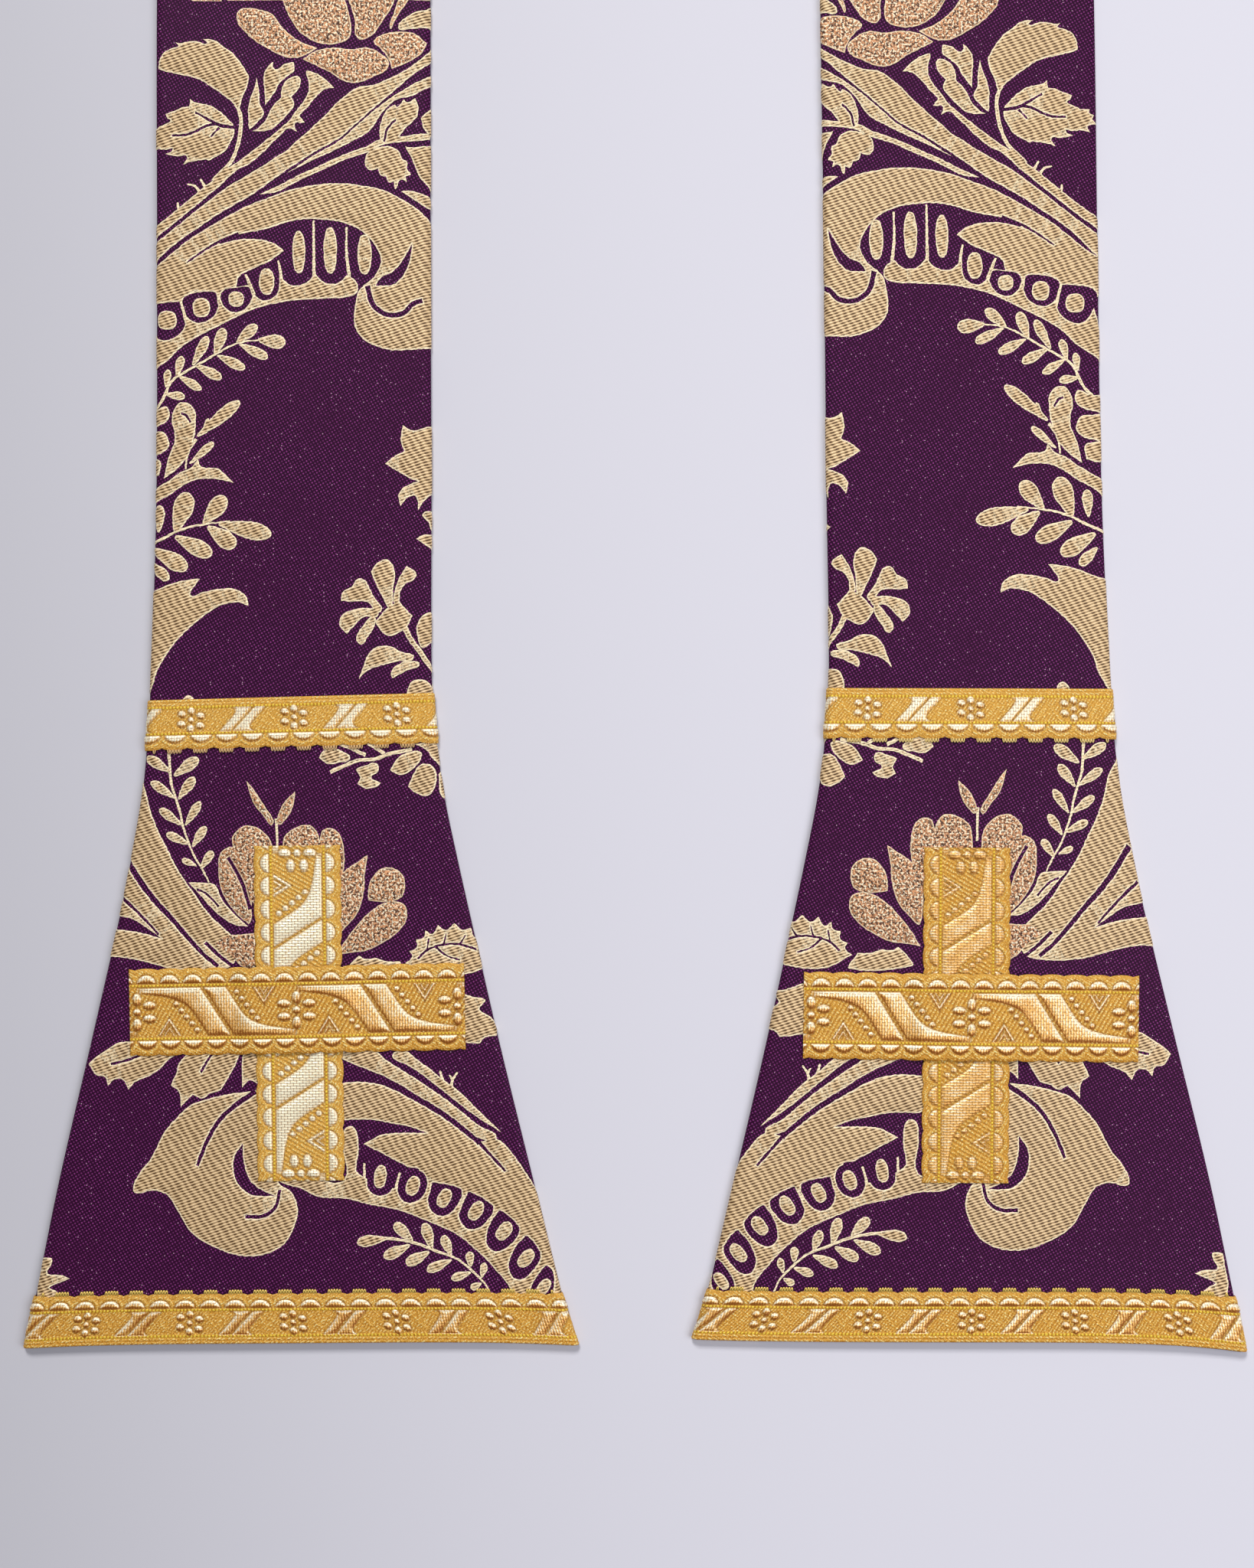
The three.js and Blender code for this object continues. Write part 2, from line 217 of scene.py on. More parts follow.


# The figure woven in the brocade, in the left band. Its points weren't drawn freely: they were
# read off enlarged pieces of the photograph, some by way of a conversion from pixels. x is from
# the band's centre line, minus towards the stole's outside, and y is up from the hem. A line of
# the drawing gives the thread, the shape and its numbers, and goes on in the lines after it
# that are set in. "!" marks a sharp corner of an outline, which is smooth elsewhere. A leaf is
# its base, its tip and its width. A stroke is a width and the points it follows, and thins out
# where a width at its far end is given. "cut" is the purple ground.
FIGURE = """
gold outline 50,472 44,467 38,463.5 30,460 24,459 18,455 12,449 6,443.5 0,439 -10,435.5 -20,427.5 -30,420
  -40,412 -50,404 -60,396 -58,390 -45,401 -35,408 -25,414.5 -15,420 -8,425 0,430.5 8,435.5 17,440.5
  24,446.5 31,452.5 37,457.5 44,463.5 50,467.5 60,476 60,482
gold outline 50,463 44,460 38,456.5 31,451.5 24,445.5 17,439.5 8,434.5 2,430.5 -2,428! 6,432 14,435.5
  22,439.5 28,443 33,450 38,454.5 44,456 50,459 60,464 60,469
gold outline 50,442 40,441 32,440 27,437.5 20,435 12,431.5 2,427 -6,423 -12,420.3! -6,421 2,425 12,429.5
  20,433 28,435.5 33,438 40,439 50,440
cut outline 10.6,447.6! 8.2,445.8 4.6,442.2 1,439.2 -2.4,436 -6.4,433.6 -11.2,430.4 -16.6,427.2 -21,424.8
  -25.4,422 -30.2,418.4 -35.8,414.2 -42.8,408.6 -49.6,403.4 -57,398.2 -64,393 -64,397.2 -57,402
  -49.6,406.6 -42.8,411.4 -35.8,417 -26,424 -16.4,431.4 -7.6,439.4 -2,444.4 2.8,446.4 5,451.4 8.6,455.2
gold outline 5.2,465.4! 8.6,464.4 12,462.2 15.4,459! 12,458.4 9.2,456.2 7.4,454.2 5.8,452 4,450.4
  2.6,448.6 3.6,447.6 4.4,446.4! 2.8,446.2 1.2,446.4 0.8,445 1.6,443! -0.2,444 -2,444 -4.8,441.2
  -7.6,438.8 -10.2,436 -13.4,433.2 -16.4,431 -20,429.4 -23.2,426.8 -26,424 -30.2,420.6 -35.8,416
  -42.8,410.4 -49.6,405.2 -57,400 -64,394.6 -64,398.8 -57,404.2 -49.6,409.4 -42.8,414.6 -37.2,419.2
  -32.2,423.4 -28.8,425.8 -25.2,429 -20,432.2 -15.4,435.6 -11.2,438.8 -7.6,441.6 -4.2,444.4 -0.6,447.8
  1.2,450.4 3.6,453.4 5.8,457 6.2,460.4 5.4,463.2
gold stroke 1.1,0.6 -41.8,414.6 -42.2,417.6
gold stroke 1.2,0.6 -34,421 -35.8,423.4 -38.6,424.2
gold stroke 1.2,0.6 -32,422.6 -32.6,424 -33.8,426
gold outline -48.6,468.2! -48.4,469.6 -46.8,472.4 -44.6,473.6 -42.4,474.2 -41.4,475 -42.6,476! -41,475.8
  -39,476 -36.8,476.4 -34,476.2 -32,475.4 -30.8,475.6 -31.2,476.2 -32.6,477.2! -29.8,477 -27.4,476.2
  -25,474.2 -22.2,472.4 -19.4,469.2 -17.2,466 -15.8,463 -16.2,460.4 -17.6,457 -18.8,453.4 -19.4,451.4!
  -20.6,452.8 -23,454.8 -25.8,457 -29.2,459.4 -32.8,461.8 -36.2,463.2 -40,464 -44.2,465 -48,466
  -48.8,467.2
gold stroke 1.3 -20.6,453.2 -19,449.6 -18.8,445.8 -19.4,440.8 -20.6,436.4 -22.4,432.4 -26,428.6
  -29.2,425.4
gold outline -49.4,444.8! -47.6,445.8 -44.4,447.4 -45.8,448.2 -46.4,449.8! -43.2,451 -40.2,452.2
  -37.6,452.6 -37.4,453.4 -37.4,455.2! -36,454.2 -34.2,453.6 -31.4,453.2 -28.6,452 -26.2,450.4 -23.8,448.2
  -21.6,445.4 -21.4,442.2 -22.4,439.8 -24.4,436.6 -27,434.6 -30.8,432.6! -31.6,433.2 -34.4,432.8
  -37.2,432.4 -40,431.4! -38.6,433.6 -38.8,434.6 -42,434.4 -46.6,435.2! -44.4,436.2 -43.8,437.4
  -46.2,436.8 -49.6,437.2 -52.8,436.4! -51.8,438.4 -53.2,439.2 -56,439.4! -53.6,441.2 -54.2,442.6!
  -52.4,443.6 -52.8,444.8!
cut stroke 1.3,0.8 -21,444.8 -25.2,445.2 -28,446 -31.4,445.4 -35.6,443.4 -39.2,442.2 -44,442
cut stroke 1,0.8 -28,446.2 -30.8,447.8 -33.6,449.4 -35.6,450.4
cut stroke 1,0.6 -26.6,444.8 -28,443.4 -29.8,441.4
gold outline -12.8,463! -13.6,459.8 -15.2,455.6 -16.2,451.4 -16,447.8 -16,445.8 -15.8,444! -14.6,444.8
  -13.2,446.2 -10.8,448.6 -10.4,450 -11.8,453.4 -12,457.6
gold outline -6.8,468.6! -8.6,467.2 -10,464.6 -10.4,461.2 -10,457.6 -9.8,454.8 -9.8,452.8! -7.6,455.6
  -5.8,458.4 -4.8,460.4 -2,463 0.2,464.6 1,466.4 0.6,468.4! -2.6,467.8 -4.4,466.4 -6,465.8 -7,466.8
gold outline -14.6,443.4! -12.6,444.4 -9.4,447.8 -8.2,450.6 -6.2,453.4 -4,455.6 -4,457.6 -2.6,461.2
  0.2,463 2.6,463 3.2,461.2 2.2,458.4 -0.2,455.6 0.8,453.8 0.2,451.8 -2,449 -4.8,446.2 -7.6,444
  -11.2,443.2
gold outline 32.4,438.8! 31.8,443 32.8,447.6 35,451.2 37.6,452.6! 38.2,451.6 40.8,454.6! 42,453.4
  44.8,455! 46,451.8 45.6,448.2! 43.4,446 41.2,444 39.2,441.2 36.2,439.2
cut stroke 0.8 33.4,439.2 34.6,443.6 36.4,446 37.8,447.2
gold outline 26.4,432.6! 27.6,435.2 31,437 35.6,437.4 38.8,435.6 40,433 41.8,431.8 41.6,429.2! 43,427
  41.2,426.4 41.8,424.4! 39.4,425.2 38.2,423.2! 37.4,421.8 36.8,424.6! 35.2,424 34,426.4! 32,427
  31.2,429.4! 28.2,428.8 26.6,430.4
gold outline 41.2,437.4! 44.4,437 49.8,437.6 52.8,437.6 52.6,420 49,423 46.2,426.4 44.4,430.6 43,434
gold outline 39.6,421! 43.2,421.2 49.6,418.8 52.6,415.2 49.6,414.6 45.6,417
gold outline 47,447.6! 49.8,450.6 52.8,451.8 52.8,441.2 49.8,441.8 47.8,444
gold outline -60,388 -52,393 -45,398.5 -38,404 -28,410 -18,415.5 -10,418.5 -2,421.5 8,423.5 18,424 26,423
  33,421.5 40,418 46,414 50,410 60,404 62,380 60,363.5 50,363.5 42,363 35,363 30,364.5 26,366.5 23,370
  22,374 22.5,380 24,385 28,388.5 30,390.5 32,396 29,402.5 25,406.5 20,409 14,410.5 4,411 -2,410 -10,407.5
  -18,406 -25,404.5 -27,402.5 -24,403 -16,404 -9,403 -5,401 -3.5,399.5! -9,395.5 -15,393 -20,390 -21,386!
  -30,385.5 -36,385 -44,382 -50,380 -60,376
cut stroke 1.2,0.6 -20,406 -30,401.5 -39,395.5
cut outline 43.5,402! 42.5,396 40.5,391 36.5,387 30,386.5! 32,389.5 36,391.5 39,394.5 41.5,398.5
cut stroke 1.8 27,386.5 28.3,381 31,377.5 35,375.8 40,376.5 43.5,379.8 47,381
gold outline -60,352 -52,356 -46,360 -42,364 -36,368 -30,371 -22,375 -14,378.5 -6,380.5 2,381.5 12,382
  20,382.5 23,384 23.5,387 22,389 19.5,390.5! 16,387.5 11,388 8,391! 4,387.5 -1,387 -4.8,390! -9,386
  -14,387.5 -20,386.5 -30,386 -44,383 -60,378
cut outline -14.8,389 -15,385 -12.5,382 -9.5,381.5 -6.3,383.5 -5,387.5 -5.5,391 -9.5,394.5 -13.5,393.5
cut outline -26.3,384.5 -25.8,380 -22.5,377.3 -18.5,378 -15.6,381.5 -15.4,385.7 -20.5,386.3
cut outline -40.3,382.5 -40,377.5 -36.5,373.8 -32,374 -28.5,377 -27.6,383.5 -33,384.8
cut outline -54,378.5 -52.5,371.5 -48.5,367.3 -43.5,368.3 -40,372 -39.6,380 -46,381
cut outline -68,375 -66,366 -61,362 -57,363.5 -54.5,368 -54,376.5
gold egg -9.8,388.3 5.6 9.5
gold egg -21,382 5.6 5.6
gold egg -33.8,379 6.4 7
gold egg -46.3,374.5 7 7
gold egg -60,370 7 7
gold egg 2,399 4.6 15.5
gold egg 13.5,399.5 4.8 17
gold egg 26,398 5 14.5
gold stroke 1.2,0.6 7.5,389 7.5,399 7.5,410.5
gold stroke 1.2,0.6 20.5,389 19.5,398 19.5,408
gold stroke 1.4,0.6 -4.6,386 -4.6,391 -5.5,396
gold stroke 1.4,0.8 -14.5,383.5 -17.5,391
gold stroke 1.4,0.8 -26.5,377 -28,385
gold stroke 1.4,0.8 -39,373 -41.5,382
gold stroke 1.2,0.5 -62,333 -50,343 -45,352 -40,355.5 -32,360 -24,364.5 -18,366.5 -12,367
gold leaf -13,367 -3,366 5.2
gold leaf -21,366 -13.5,372.5 4.2
gold leaf -29,361.5 -25.5,371.5 4.2
gold leaf -37,358 -31.5,368.5 3.7
gold leaf -43,354 -41,361.5 3.2
gold leaf -47,350 -46,356.5 2.7
gold leaf -20,365.5 -9.5,360.5 3.7
gold leaf -28,361.5 -18,356.5 3.7
gold leaf -36,358 -26.5,353 3.7
gold leaf -42,354 -34,349 3.2
gold leaf -47,347.5 -40,346.5 3.2
gold outline -43,343.5 -40,344.5 -37,342.5 -36,340! -36.5,333 -38,328 -40,323.5 -44,319.5 -48,316.5!
  -47,321 -46,325 -44,330 -44,334 -45,338
cut stroke 0.9 -41.5,340.5 -39.5,339.5 -38,337
gold outline -62,342 -52,341 -47,343 -45.7,340 -47.5,337 -52,335.5 -62,335
gold outline -62,334 -52,334 -48,333.5 -46.2,331 -46.2,328 -49,325.8 -52,325 -62,324
gold outline -62,324 -52,324 -49,323 -49.5,318! -55,317
gold leaf -35.5,332 -20,344.8 4.6
gold leaf -29,336 -25.5,340.8 2.4
gold leaf -33,333 -31.5,338.5 2
gold leaf -38.5,322 -29.5,329.8 2.8
gold stroke 1,0.6 -36,331 -39,326 -40,320
gold outline -62,306 -50,313.5 -46,316 -42,318.8 -38,320.5 -35.5,323.5! -34,320.8 -28,320 -22.5,315!
  -29,316.3 -36,316.2 -41,314 -46,310.5 -51,308 -62,301
gold stroke 1.2,0.5 -62,289 -50,294 -44,297 -38,299 -32,300 -24,301
gold leaf -28,300 -8.7,295.8 6.4
gold leaf -44,297 -39,311.5 7.4
gold leaf -33.5,300 -25.5,310 6.4
gold leaf -32,299 -22,291.5 6.4
gold leaf -44,295.5 -30.5,288.5 6.2
gold leaf -52.5,291 -39.5,283.5 6.2
gold leaf -50,297 -49.5,307 4
gold leaf -53,286 -46.5,279.5 4
gold outline -62,271 -51,276 -46,278 -40,279.5 -35,280! -37.5,276.5 -38.5,273.8 -34,275 -28,276.2 -22,276
  -18.3,273.5 -17.3,269.8! -21,271.2 -27,270.3 -33,266.8 -39,262 -44,257 -48,251.5 -51,246 -53,240 -60,232
gold outline 60,336 49,335 46,334 43,333.5 39.5,335.5! 38.7,330 40,326! 36,324 33,321.5! 37,319 42,316
  45,315! 40,313 37.5,310! 38.5,306! 41,309 44,309.5 45,304.5! 46.5,307 50,310 60,311
gold outline 46.5,303 48.5,300 50,297 60,296 60,304 50,304
gold outline 44,294! 47,295.5 50,295.5 60,297 60,288 50,290 47,292
gold outline 30,265 33,268.5 36,270.5 36,273 39,269.5 42.5,266! 41,262.5 38,260 34,258.5 31,260.5 29,264
gold outline 33.5,269 32,272 30,276 27.5,282! 29.5,285 33,286.5 35.5,284.5 36.2,280 35.5,275 35,269
gold outline 35.5,271 36.5,276 38,280 40.5,284! 44,281.5 43,279 40,277.5 38,274 37.5,270
gold outline 31.5,268.5 28.5,273 25.5,279! 22.5,279.5 20.5,276.5! 17,274.5 16.5,271.5! 20,271.2 26,271
  30,267
gold outline 30,268 26,268.8 22,268.5 17,266.5 16,262.5 18.5,259.5! 21.5,262.5 25,265.7 29.5,265.5
gold outline 28.5,266 25,263 22.5,259.5 22,257 24,255.5 26,258 28.5,262
gold stroke 2,1.4 39.5,262 42,257 45,253 50,246 60,238
gold outline 43,250.5 38,252.8 34,254.8 29,254.3 26,251.5 24.5,247.5 22.8,243! 26,246 31,247.8 37,249.2
gold outline 35,243! 34.5,245.5 37,248 41,249.3 45,248 40.5,246
gold outline 44.5,257! 44,262 46.5,266 50,267 60,262 60,252 50,256 46,254
gold outline 41,235 41,240 43,242.3 46,242.5 49,240.5 50,236
gold outline 50,236 52,244 58,246 60,236
gold outline -42,233 -39.5,237.5 -37.5,233
gold outline 8,214.3! 11,217.8 16,216.8 19.5,214 15,212.3 11,212
gold stroke 1.3 12,209 22,213 28,213.5 34,215.5 42,217
gold stroke 1.3 15,219.5 20,217.5 25,215
gold stroke 1.3 26,219.5 32,215.5
gold outline 21.5,210! 25,211.3 29,212 29.5,209 27,207 30.5,205! 29,203.5 25,202.8 22,204.5! 23,207
gold outline 34,209.5! 37,214 42,216.3 45.5,215.7 43.5,211 38,207.7
gold outline 40.5,203.5! 43,209 46,211.7 50,210.3 50.5,204 47.5,200 42.5,201.5
gold outline 43,219! 47,217 50,213 53,210.5! 54,214 51,219
gold outline 51.5,208! 56,210 58,204 54,199 52,201
gold stroke 1.1,0.6 -47,220 -46.5,210 -46,205 -44.5,200 -43,195 -42,190 -40,184 -38,179 -35,174 -32.5,169
gold leaf -46.5,209.5 -55,215 3.9
gold leaf -45,208 -36,214.5 4.3
gold leaf -45,200 -53.5,206 3.5
gold leaf -43.5,199.5 -37.5,207.5 3.7
gold leaf -42.5,190 -50.5,196 3.4
gold leaf -41,190 -35.5,198.5 3.3
gold leaf -40,183 -48,187 3.3
gold leaf -38.5,182 -33.5,189.5 3.3
gold leaf -37,175 -42.5,177.5 2.3
gold leaf -35.5,174 -31,180.5 3.2
gold leaf -47.5,219.5 -41,223 4
gold outline -70,225 -60,211 -57,206! -55.5,203 -54,196 -51,188 -47.5,181 -44,174 -38,165 -33,158 -28,153
  -24.5,149.5 -22,146 -24,139 -32,136.8 -45,137.3 -52,139 -60,141 -67,142 -80,143 -80,185
cut stroke 2.4,1.4 -63,178 -57,168.5 -52,162 -46,155.5 -40,148.5 -35,143 -29.5,138.3
cut stroke 1.3,0.8 -66,165 -61,160.5 -56,155.5 -51,150
cut outline -80,160 -66,157 -60,155.5 -54,151.5 -50,148.6! -56,150.3 -60,151.3 -66,152 -80,154
cut stroke 1.3 -34,147 -27,140.5 -21,137
gold outline -40,169! -34,168.7 -30.5,168.2 -28,163 -24,158 -18.3,152.8! -23,153.3 -27,155.5 -33,161
  -35,163.5
cut stroke 0.8 -37,166.5 -33,164.5 -29,160
lurex outline -9,190 -13.5,194.5 -16.6,199 -18.6,206! -15,201.5 -12.2,197
lurex outline -7,190 -6.5,195 -4,199 -0.8,201.8! -1.4,197 -3.6,192.6
gold stroke 0.9 -7.8,192 -7.3,180
lurex outline -24,184 -22,188 -18,189.7 -13,187.7 -9.5,183 -9,174 -12,160 -19,165
lurex outline -5.5,181! -5,185 -1,188.7 4,189.7 7,187.3 8,184! 9,187.5 12,188.5 15.5,186 17,180 16.5,172
  12,160 0,155 -6,165
lurex outline -29,176 -28,180 -25,182! -21,181 -19,176 -17.3,166 -17,156 -18,153.5! -22,157 -26,162
  -28.5,168
cut stroke 1.3 -25.5,178 -22,172 -19.8,167 -17.5,159
lurex outline 16,172! 20,175 25.5,178.5! 24.5,172 24,165 22,158 18,153 14,150 13,165
lurex outline 25.5,162! 26,168 29,172.5 33,174 37,172.5 39,169 38.5,164 36,162 31,161.3
lurex outline 14,142! 17,147 20,151 25,156.7 30,160.3 35,161.6 39,160 39.6,155 36,150 31,146.5 25,143.7
  20,143
lurex outline -30.5,146.5! -27,149 -22,149.8 -14,149 -13,136 -21,138.5 -25,142.7
gold outline 39,139! 41.5,141.2 40.6,143.4! 43.2,144.6 43,147.6! 45.6,148 46.4,150.8! 49,149.6 51,152.6!
  54,151 57,153.4! 60,151 63,151.6! 64,148.5 67,148! 70,143 68,137 50,134
cut stroke 0.8 43.5,140.5 47,143.6 52,145.4 58,145.8 65,143.8
cut stroke 0.8,0.5 47,143.6 47.6,148
cut stroke 0.8,0.5 53,145.4 54,149.6
cut stroke 0.8,0.5 59,145.8 61,149
cut stroke 0.8,0.5 50,145 54,141.6 59,140
gold outline 17,135 19,139! 22,141.7! 25,140.5 28,141! 32,139.7 37,139.5! 40,134
gold outline 56,128 61,127.3 64,126.3! 68,125.3 66,122 70,119 73.5,115! 72,112.3 68,111.7 66,109.3! 60,110
  54,112
gold outline -77,103! -75,105 -72,107 -69,109! -66,110.7 -61,111 -52,112 -44,108 -48,104 -52,100 -56,98
  -60,96.3 -62.5,93.5! -64.5,97 -67.5,97.2 -70,95! -71,98 -74.5,99
cut stroke 0.9 -69,102.8 -63,104.2 -57,106.5
gold outline -45,99! -44,103 -40,107 -34,112 -22,110 -23,103 -26,97.5 -29,93 -33,91.7! -35.5,90 -39,91.5!
  -43.5,87! -44,92.5 -47,95!
cut stroke 0.9 -31.5,107 -34,103 -36,99.5
gold outline -20,108 -16,108 -13,100 -15,95! -18,96.5 -21,94!
gold outline -13,93.5 -19,92.3 -25,91.7 -33,90 -40,87.5 -46,82 -50,77 -52.5,72 -55,67.5 -58,64 -60.5,60!
  -61,56.5 -58.6,55.5 -55,56.5 -50,55.7 -47.5,53.5 -44.5,48.5 -39.5,40.7 -31.5,35.7 -23,32.7 -14,32.7
  -6,36.6 -1.7,44.6 -1,50 -3,55.5 -8,60 0,70 0,92
cut stroke 1.9,1.2 -16,92.5 -22,88.5 -28,83.5 -32,78 -35,72 -37.5,65.5
cut outline -20.8,73.5! -23.8,69 -24.3,64 -22.5,58.5 -17.5,54.7 -9,54.2! -14.5,56.7 -18.3,60 -20,64.5
  -20.8,69
cut stroke 1.5,1 -20,46.8 -13.5,47 -9,50.3 -7.5,56.5
gold outline 17,95.5 24,95.6 32,93.8 43,88.1 53,82 63,74.2 65,72.3! 66.2,73.6 72,74.6 79,67.5 84.5,59
  92,48 97,40 105,22 112,0 112,-12 80,-12 76.8,12 76.8,19.4 70.7,27.5 63.6,34.5 56.6,40 46.5,44.6 36,48.7
  26,50.7 16,53.2 7,53.7 0,57 -8,60 -12,70 -10,90 5,94
gold outline 10,107! 17,103.4 24,100.5 32,97.2 38,93.8 43,90.6 53,84.5 63,76.6 65.5,74.8 72,74.8 65.3,79.6
  59.2,84.5 53.1,89.4 45,95 38,99.6 32,103.5 26,108
cut stroke 1.3,0.9 65.6,73.2 70,68.3 75,62.8
gold outline 38,108! 44,103 47,100.8 53.1,95.8 59.2,91.2 65.3,85 73.6,77! 65.3,82.2 59.2,86.8 53.1,91.6
  46,97.3 40,101.4 34,105
gold stroke 1.1,0.6 52.6,95 51.4,99.6
gold stroke 1.2,0.6 55.4,93.4 56,96.4 57.8,99
gold stroke 0.9,0.5 56,96 54.8,98
cut outline 7,82 17,81.8 24,82 32,80.8 40,79.2 46.4,76.8! 39,77 30,76.3 23.2,73! 31,69 39.4,64.5 43.4,63.3
  37,57 30,58 21.5,62 20.5,64 21.5,72 20,79 16.5,78.5 15.8,72 16,60 7,62
gold egg 18.5,71 4.4 15
cut cup 24.5,63.5 24.3,57.5 26.5,54.3 30.5,53.7 34,56.5 34.5,61.5 34,66 29,68 25.5,67
cut cup 36,61 35.5,54.8 38.5,51.2 42.5,51.6 45.7,54.5 46.8,59.5 45,62.7 40,64
cut cup 47.5,58.7 46.3,52 48.5,47.2 53,46.3 57,49.5 59.5,55.5 56,57.8 51,58.7
cut cup 60.5,55.4 57.5,48.5 59.5,42.5 63.5,41.2 68,44 71,49.3 68,52.5 64,54.7
cut cup 72.3,48.8 67.8,40.5 68.2,35 72,33.2 77,36 80.4,41.5 78,45.3 75,47.8
cut cup 81.8,39.8 76.2,31 76.3,25 80,23 84.5,26 88,32 86.5,36 84.5,38.5
cut cup 89.5,29 84,21 84,15 87.5,13.5 91.5,17 92.7,24 91.5,28
gold egg 29.3,61 4.6 8.4 -8
gold egg 41.2,57.6 4.8 7.4 -18
gold egg 52.6,53 4.8 7.4 -26
gold egg 64.2,48.4 4.8 7.6 -32
gold egg 74.4,41 4.8 7.6 -38
gold egg 82.3,31.2 4.6 7.8 -42
gold egg 88.7,20.8 4 7 -36
gold stroke 1.3,0.7 23,55 23.5,60 23.5,66
gold stroke 1.3,0.7 34.5,53.5 35.3,58 36.5,62.5
gold stroke 1.3,0.7 45,49 46.5,54 48,58.5
gold stroke 1.3,0.7 56,44 58.5,50 61,55.5
gold stroke 1.3,0.7 65.5,37 68.5,43.5 72.5,48.8
gold stroke 1.3,0.7 73.5,28.5 77.5,35 82.3,40
gold stroke 1.3,0.7 80.5,17 84,22.5 89,29
gold stroke 1.2,0.6 22,38 31,38.5 41.4,36.8 49.5,33.7 57.6,30.5 65.7,23.6 68.7,19 72,10
gold leaf 31.5,38.5 20.5,37 4.2
gold leaf 41,37.5 34.3,44 4.2
gold leaf 48,34.5 45.3,44 4.2
gold leaf 55,32 52,39.5 3.7
gold leaf 62,28 61.7,33.5 3.2
gold leaf 66,24 67.4,29.5 2.7
gold leaf 40,36 30.3,31.5 4.2
gold leaf 47,33.5 38.4,29 4.2
gold leaf 55,30.5 46,26.5 3.7
gold leaf 62,26 55,23.5 3.2
gold leaf 66,22 62,20 2.7
gold outline -96,16! -96.5,22 -95.5,28 -94.8,32.5! -91,32.3 -91.5,29.5! -92.7,27 -88,26.3 -84.5,25!
  -89,23.3 -92,22! -87,18 -90,16
lurex outline -19,487.7 -15,488.3 -12,487.7 -7,486 -4,482 0,478 5,475 9.3,473.5! 6,471.5 2,470 -3,470.5
  -8,473 -13,476 -18,480.5 -20,484
lurex outline 4,469.5! 9,472.5 15,473.5 22,473 28,473.5 33,471 35.3,468.5 34.5,465.5 30,463 25,461 20,461
  14,464.5 9,467
lurex outline 30,476 34,478.5 40,479.4 45,478.5 49.3,475! 47,471 42,468 36.5,465.8! 35,470 32,473.5
lurex outline -3,490.5 0,483.5 4,478.5 10,475.3 16,475 21,477.3 21.5,483 19,492 14,500 2,503 -5,498
lurex outline 20.5,493 23,484 24,477 29,477.8 33,483 37.5,491 36,500 26,503 20,500
lurex outline 36,480.5 38,484 42.5,490.5 50,500 45,502 40,493 37.3,486
gold outline 39,480.8 44,486 49,487.3 60,492 62,478 50,480.5 45,480.5
"""

REPEAT = 329.0
JOIN_HEIGHT = 491.0
THREAD_KINDS = {"cut": 0, "gold": 1, "lurex": 2}
NEAR_STEP = 0.85
FAR_STEP = 1.7
BORDER_ROW = 0.55
FIGURE_RISE = 0.24
SHAKE = 0.13
SHAKE_SEED = 7
DOT_PITCH = 1.12
ROW_PITCH = 1.05
CUP_SHARE = 0.94
FOLD_ARC = 2.9
HEM_ARC = 2.28
SEAM_RUN = SPRING_HEIGHT + NECK_RUN * (
    1 - math.asin(SEAM_HALF_GAP / SPRING_CENTRE) / (math.pi / 2)
)


def smooth(low, high, value):
    """0 below low, 1 above high, and an even rise between them."""
    t = np.clip((np.asarray(value) - low) / (high - low), 0, 1)
    return t * t * (3 - 2 * t)


def smooth_outline(points, sharp, step):
    """A closed curve through points, turning evenly but for its sharp corners."""
    count = len(points)
    ways = np.roll(points, -1, 0) - np.roll(points, 1, 0)
    ways /= np.maximum(np.linalg.norm(ways, axis=1, keepdims=True), 1e-9)
    curve = []
    for i in range(count):
        j = (i + 1) % count
        chord = points[j] - points[i]
        length = np.linalg.norm(chord)
        leave = chord if sharp[i] else ways[i] * length
        arrive = chord if sharp[j] else ways[j] * length
        steps = max(1, round(length / step))
        t = (np.arange(steps) / steps)[:, None]
        curve.append(
            (2 * t**3 - 3 * t**2 + 1) * points[i]
            + (t**3 - 2 * t**2 + t) * leave
            + (3 * t**2 - 2 * t**3) * points[j]
            + (t**3 - t**2) * arrive
        )
    return np.concatenate(curve)


def leaf_outline(base, tip, width, step):
    """A small leaf, widest beyond its middle and round at its tip."""
    base, tip = np.array(base), np.array(tip)
    along = tip - base
    side = np.array([-along[1], along[0]]) / np.linalg.norm(along) * width / 2
    shape = [(0, 0.14), (0.25, 0.6), (0.6, 1), (0.88, 0.76), (1, 0)]
    left = [base + along * a + side * w for a, w in shape]
    right = [base + along * a - side * w for a, w in shape[-2::-1]]
    return smooth_outline(np.array(left + right), [False] * 9, step)


def egg_outline(x, y, width, height, tilt=0.0, step=1.0):
    """A long rounded boss."""
    count = max(14, round((width + height) * 1.6 / step))
    angle = np.arange(count) / count * 2 * math.pi
    across = np.sign(np.cos(angle)) * np.abs(np.cos(angle)) ** 0.85 * width / 2
    up = np.sign(np.sin(angle)) * np.abs(np.sin(angle)) ** 0.85 * height / 2
    turn = math.radians(tilt)
    return np.stack(
        [
            x + across * math.cos(turn) - up * math.sin(turn),
            y + across * math.sin(turn) + up * math.cos(turn),
        ],
        axis=-1,
    )


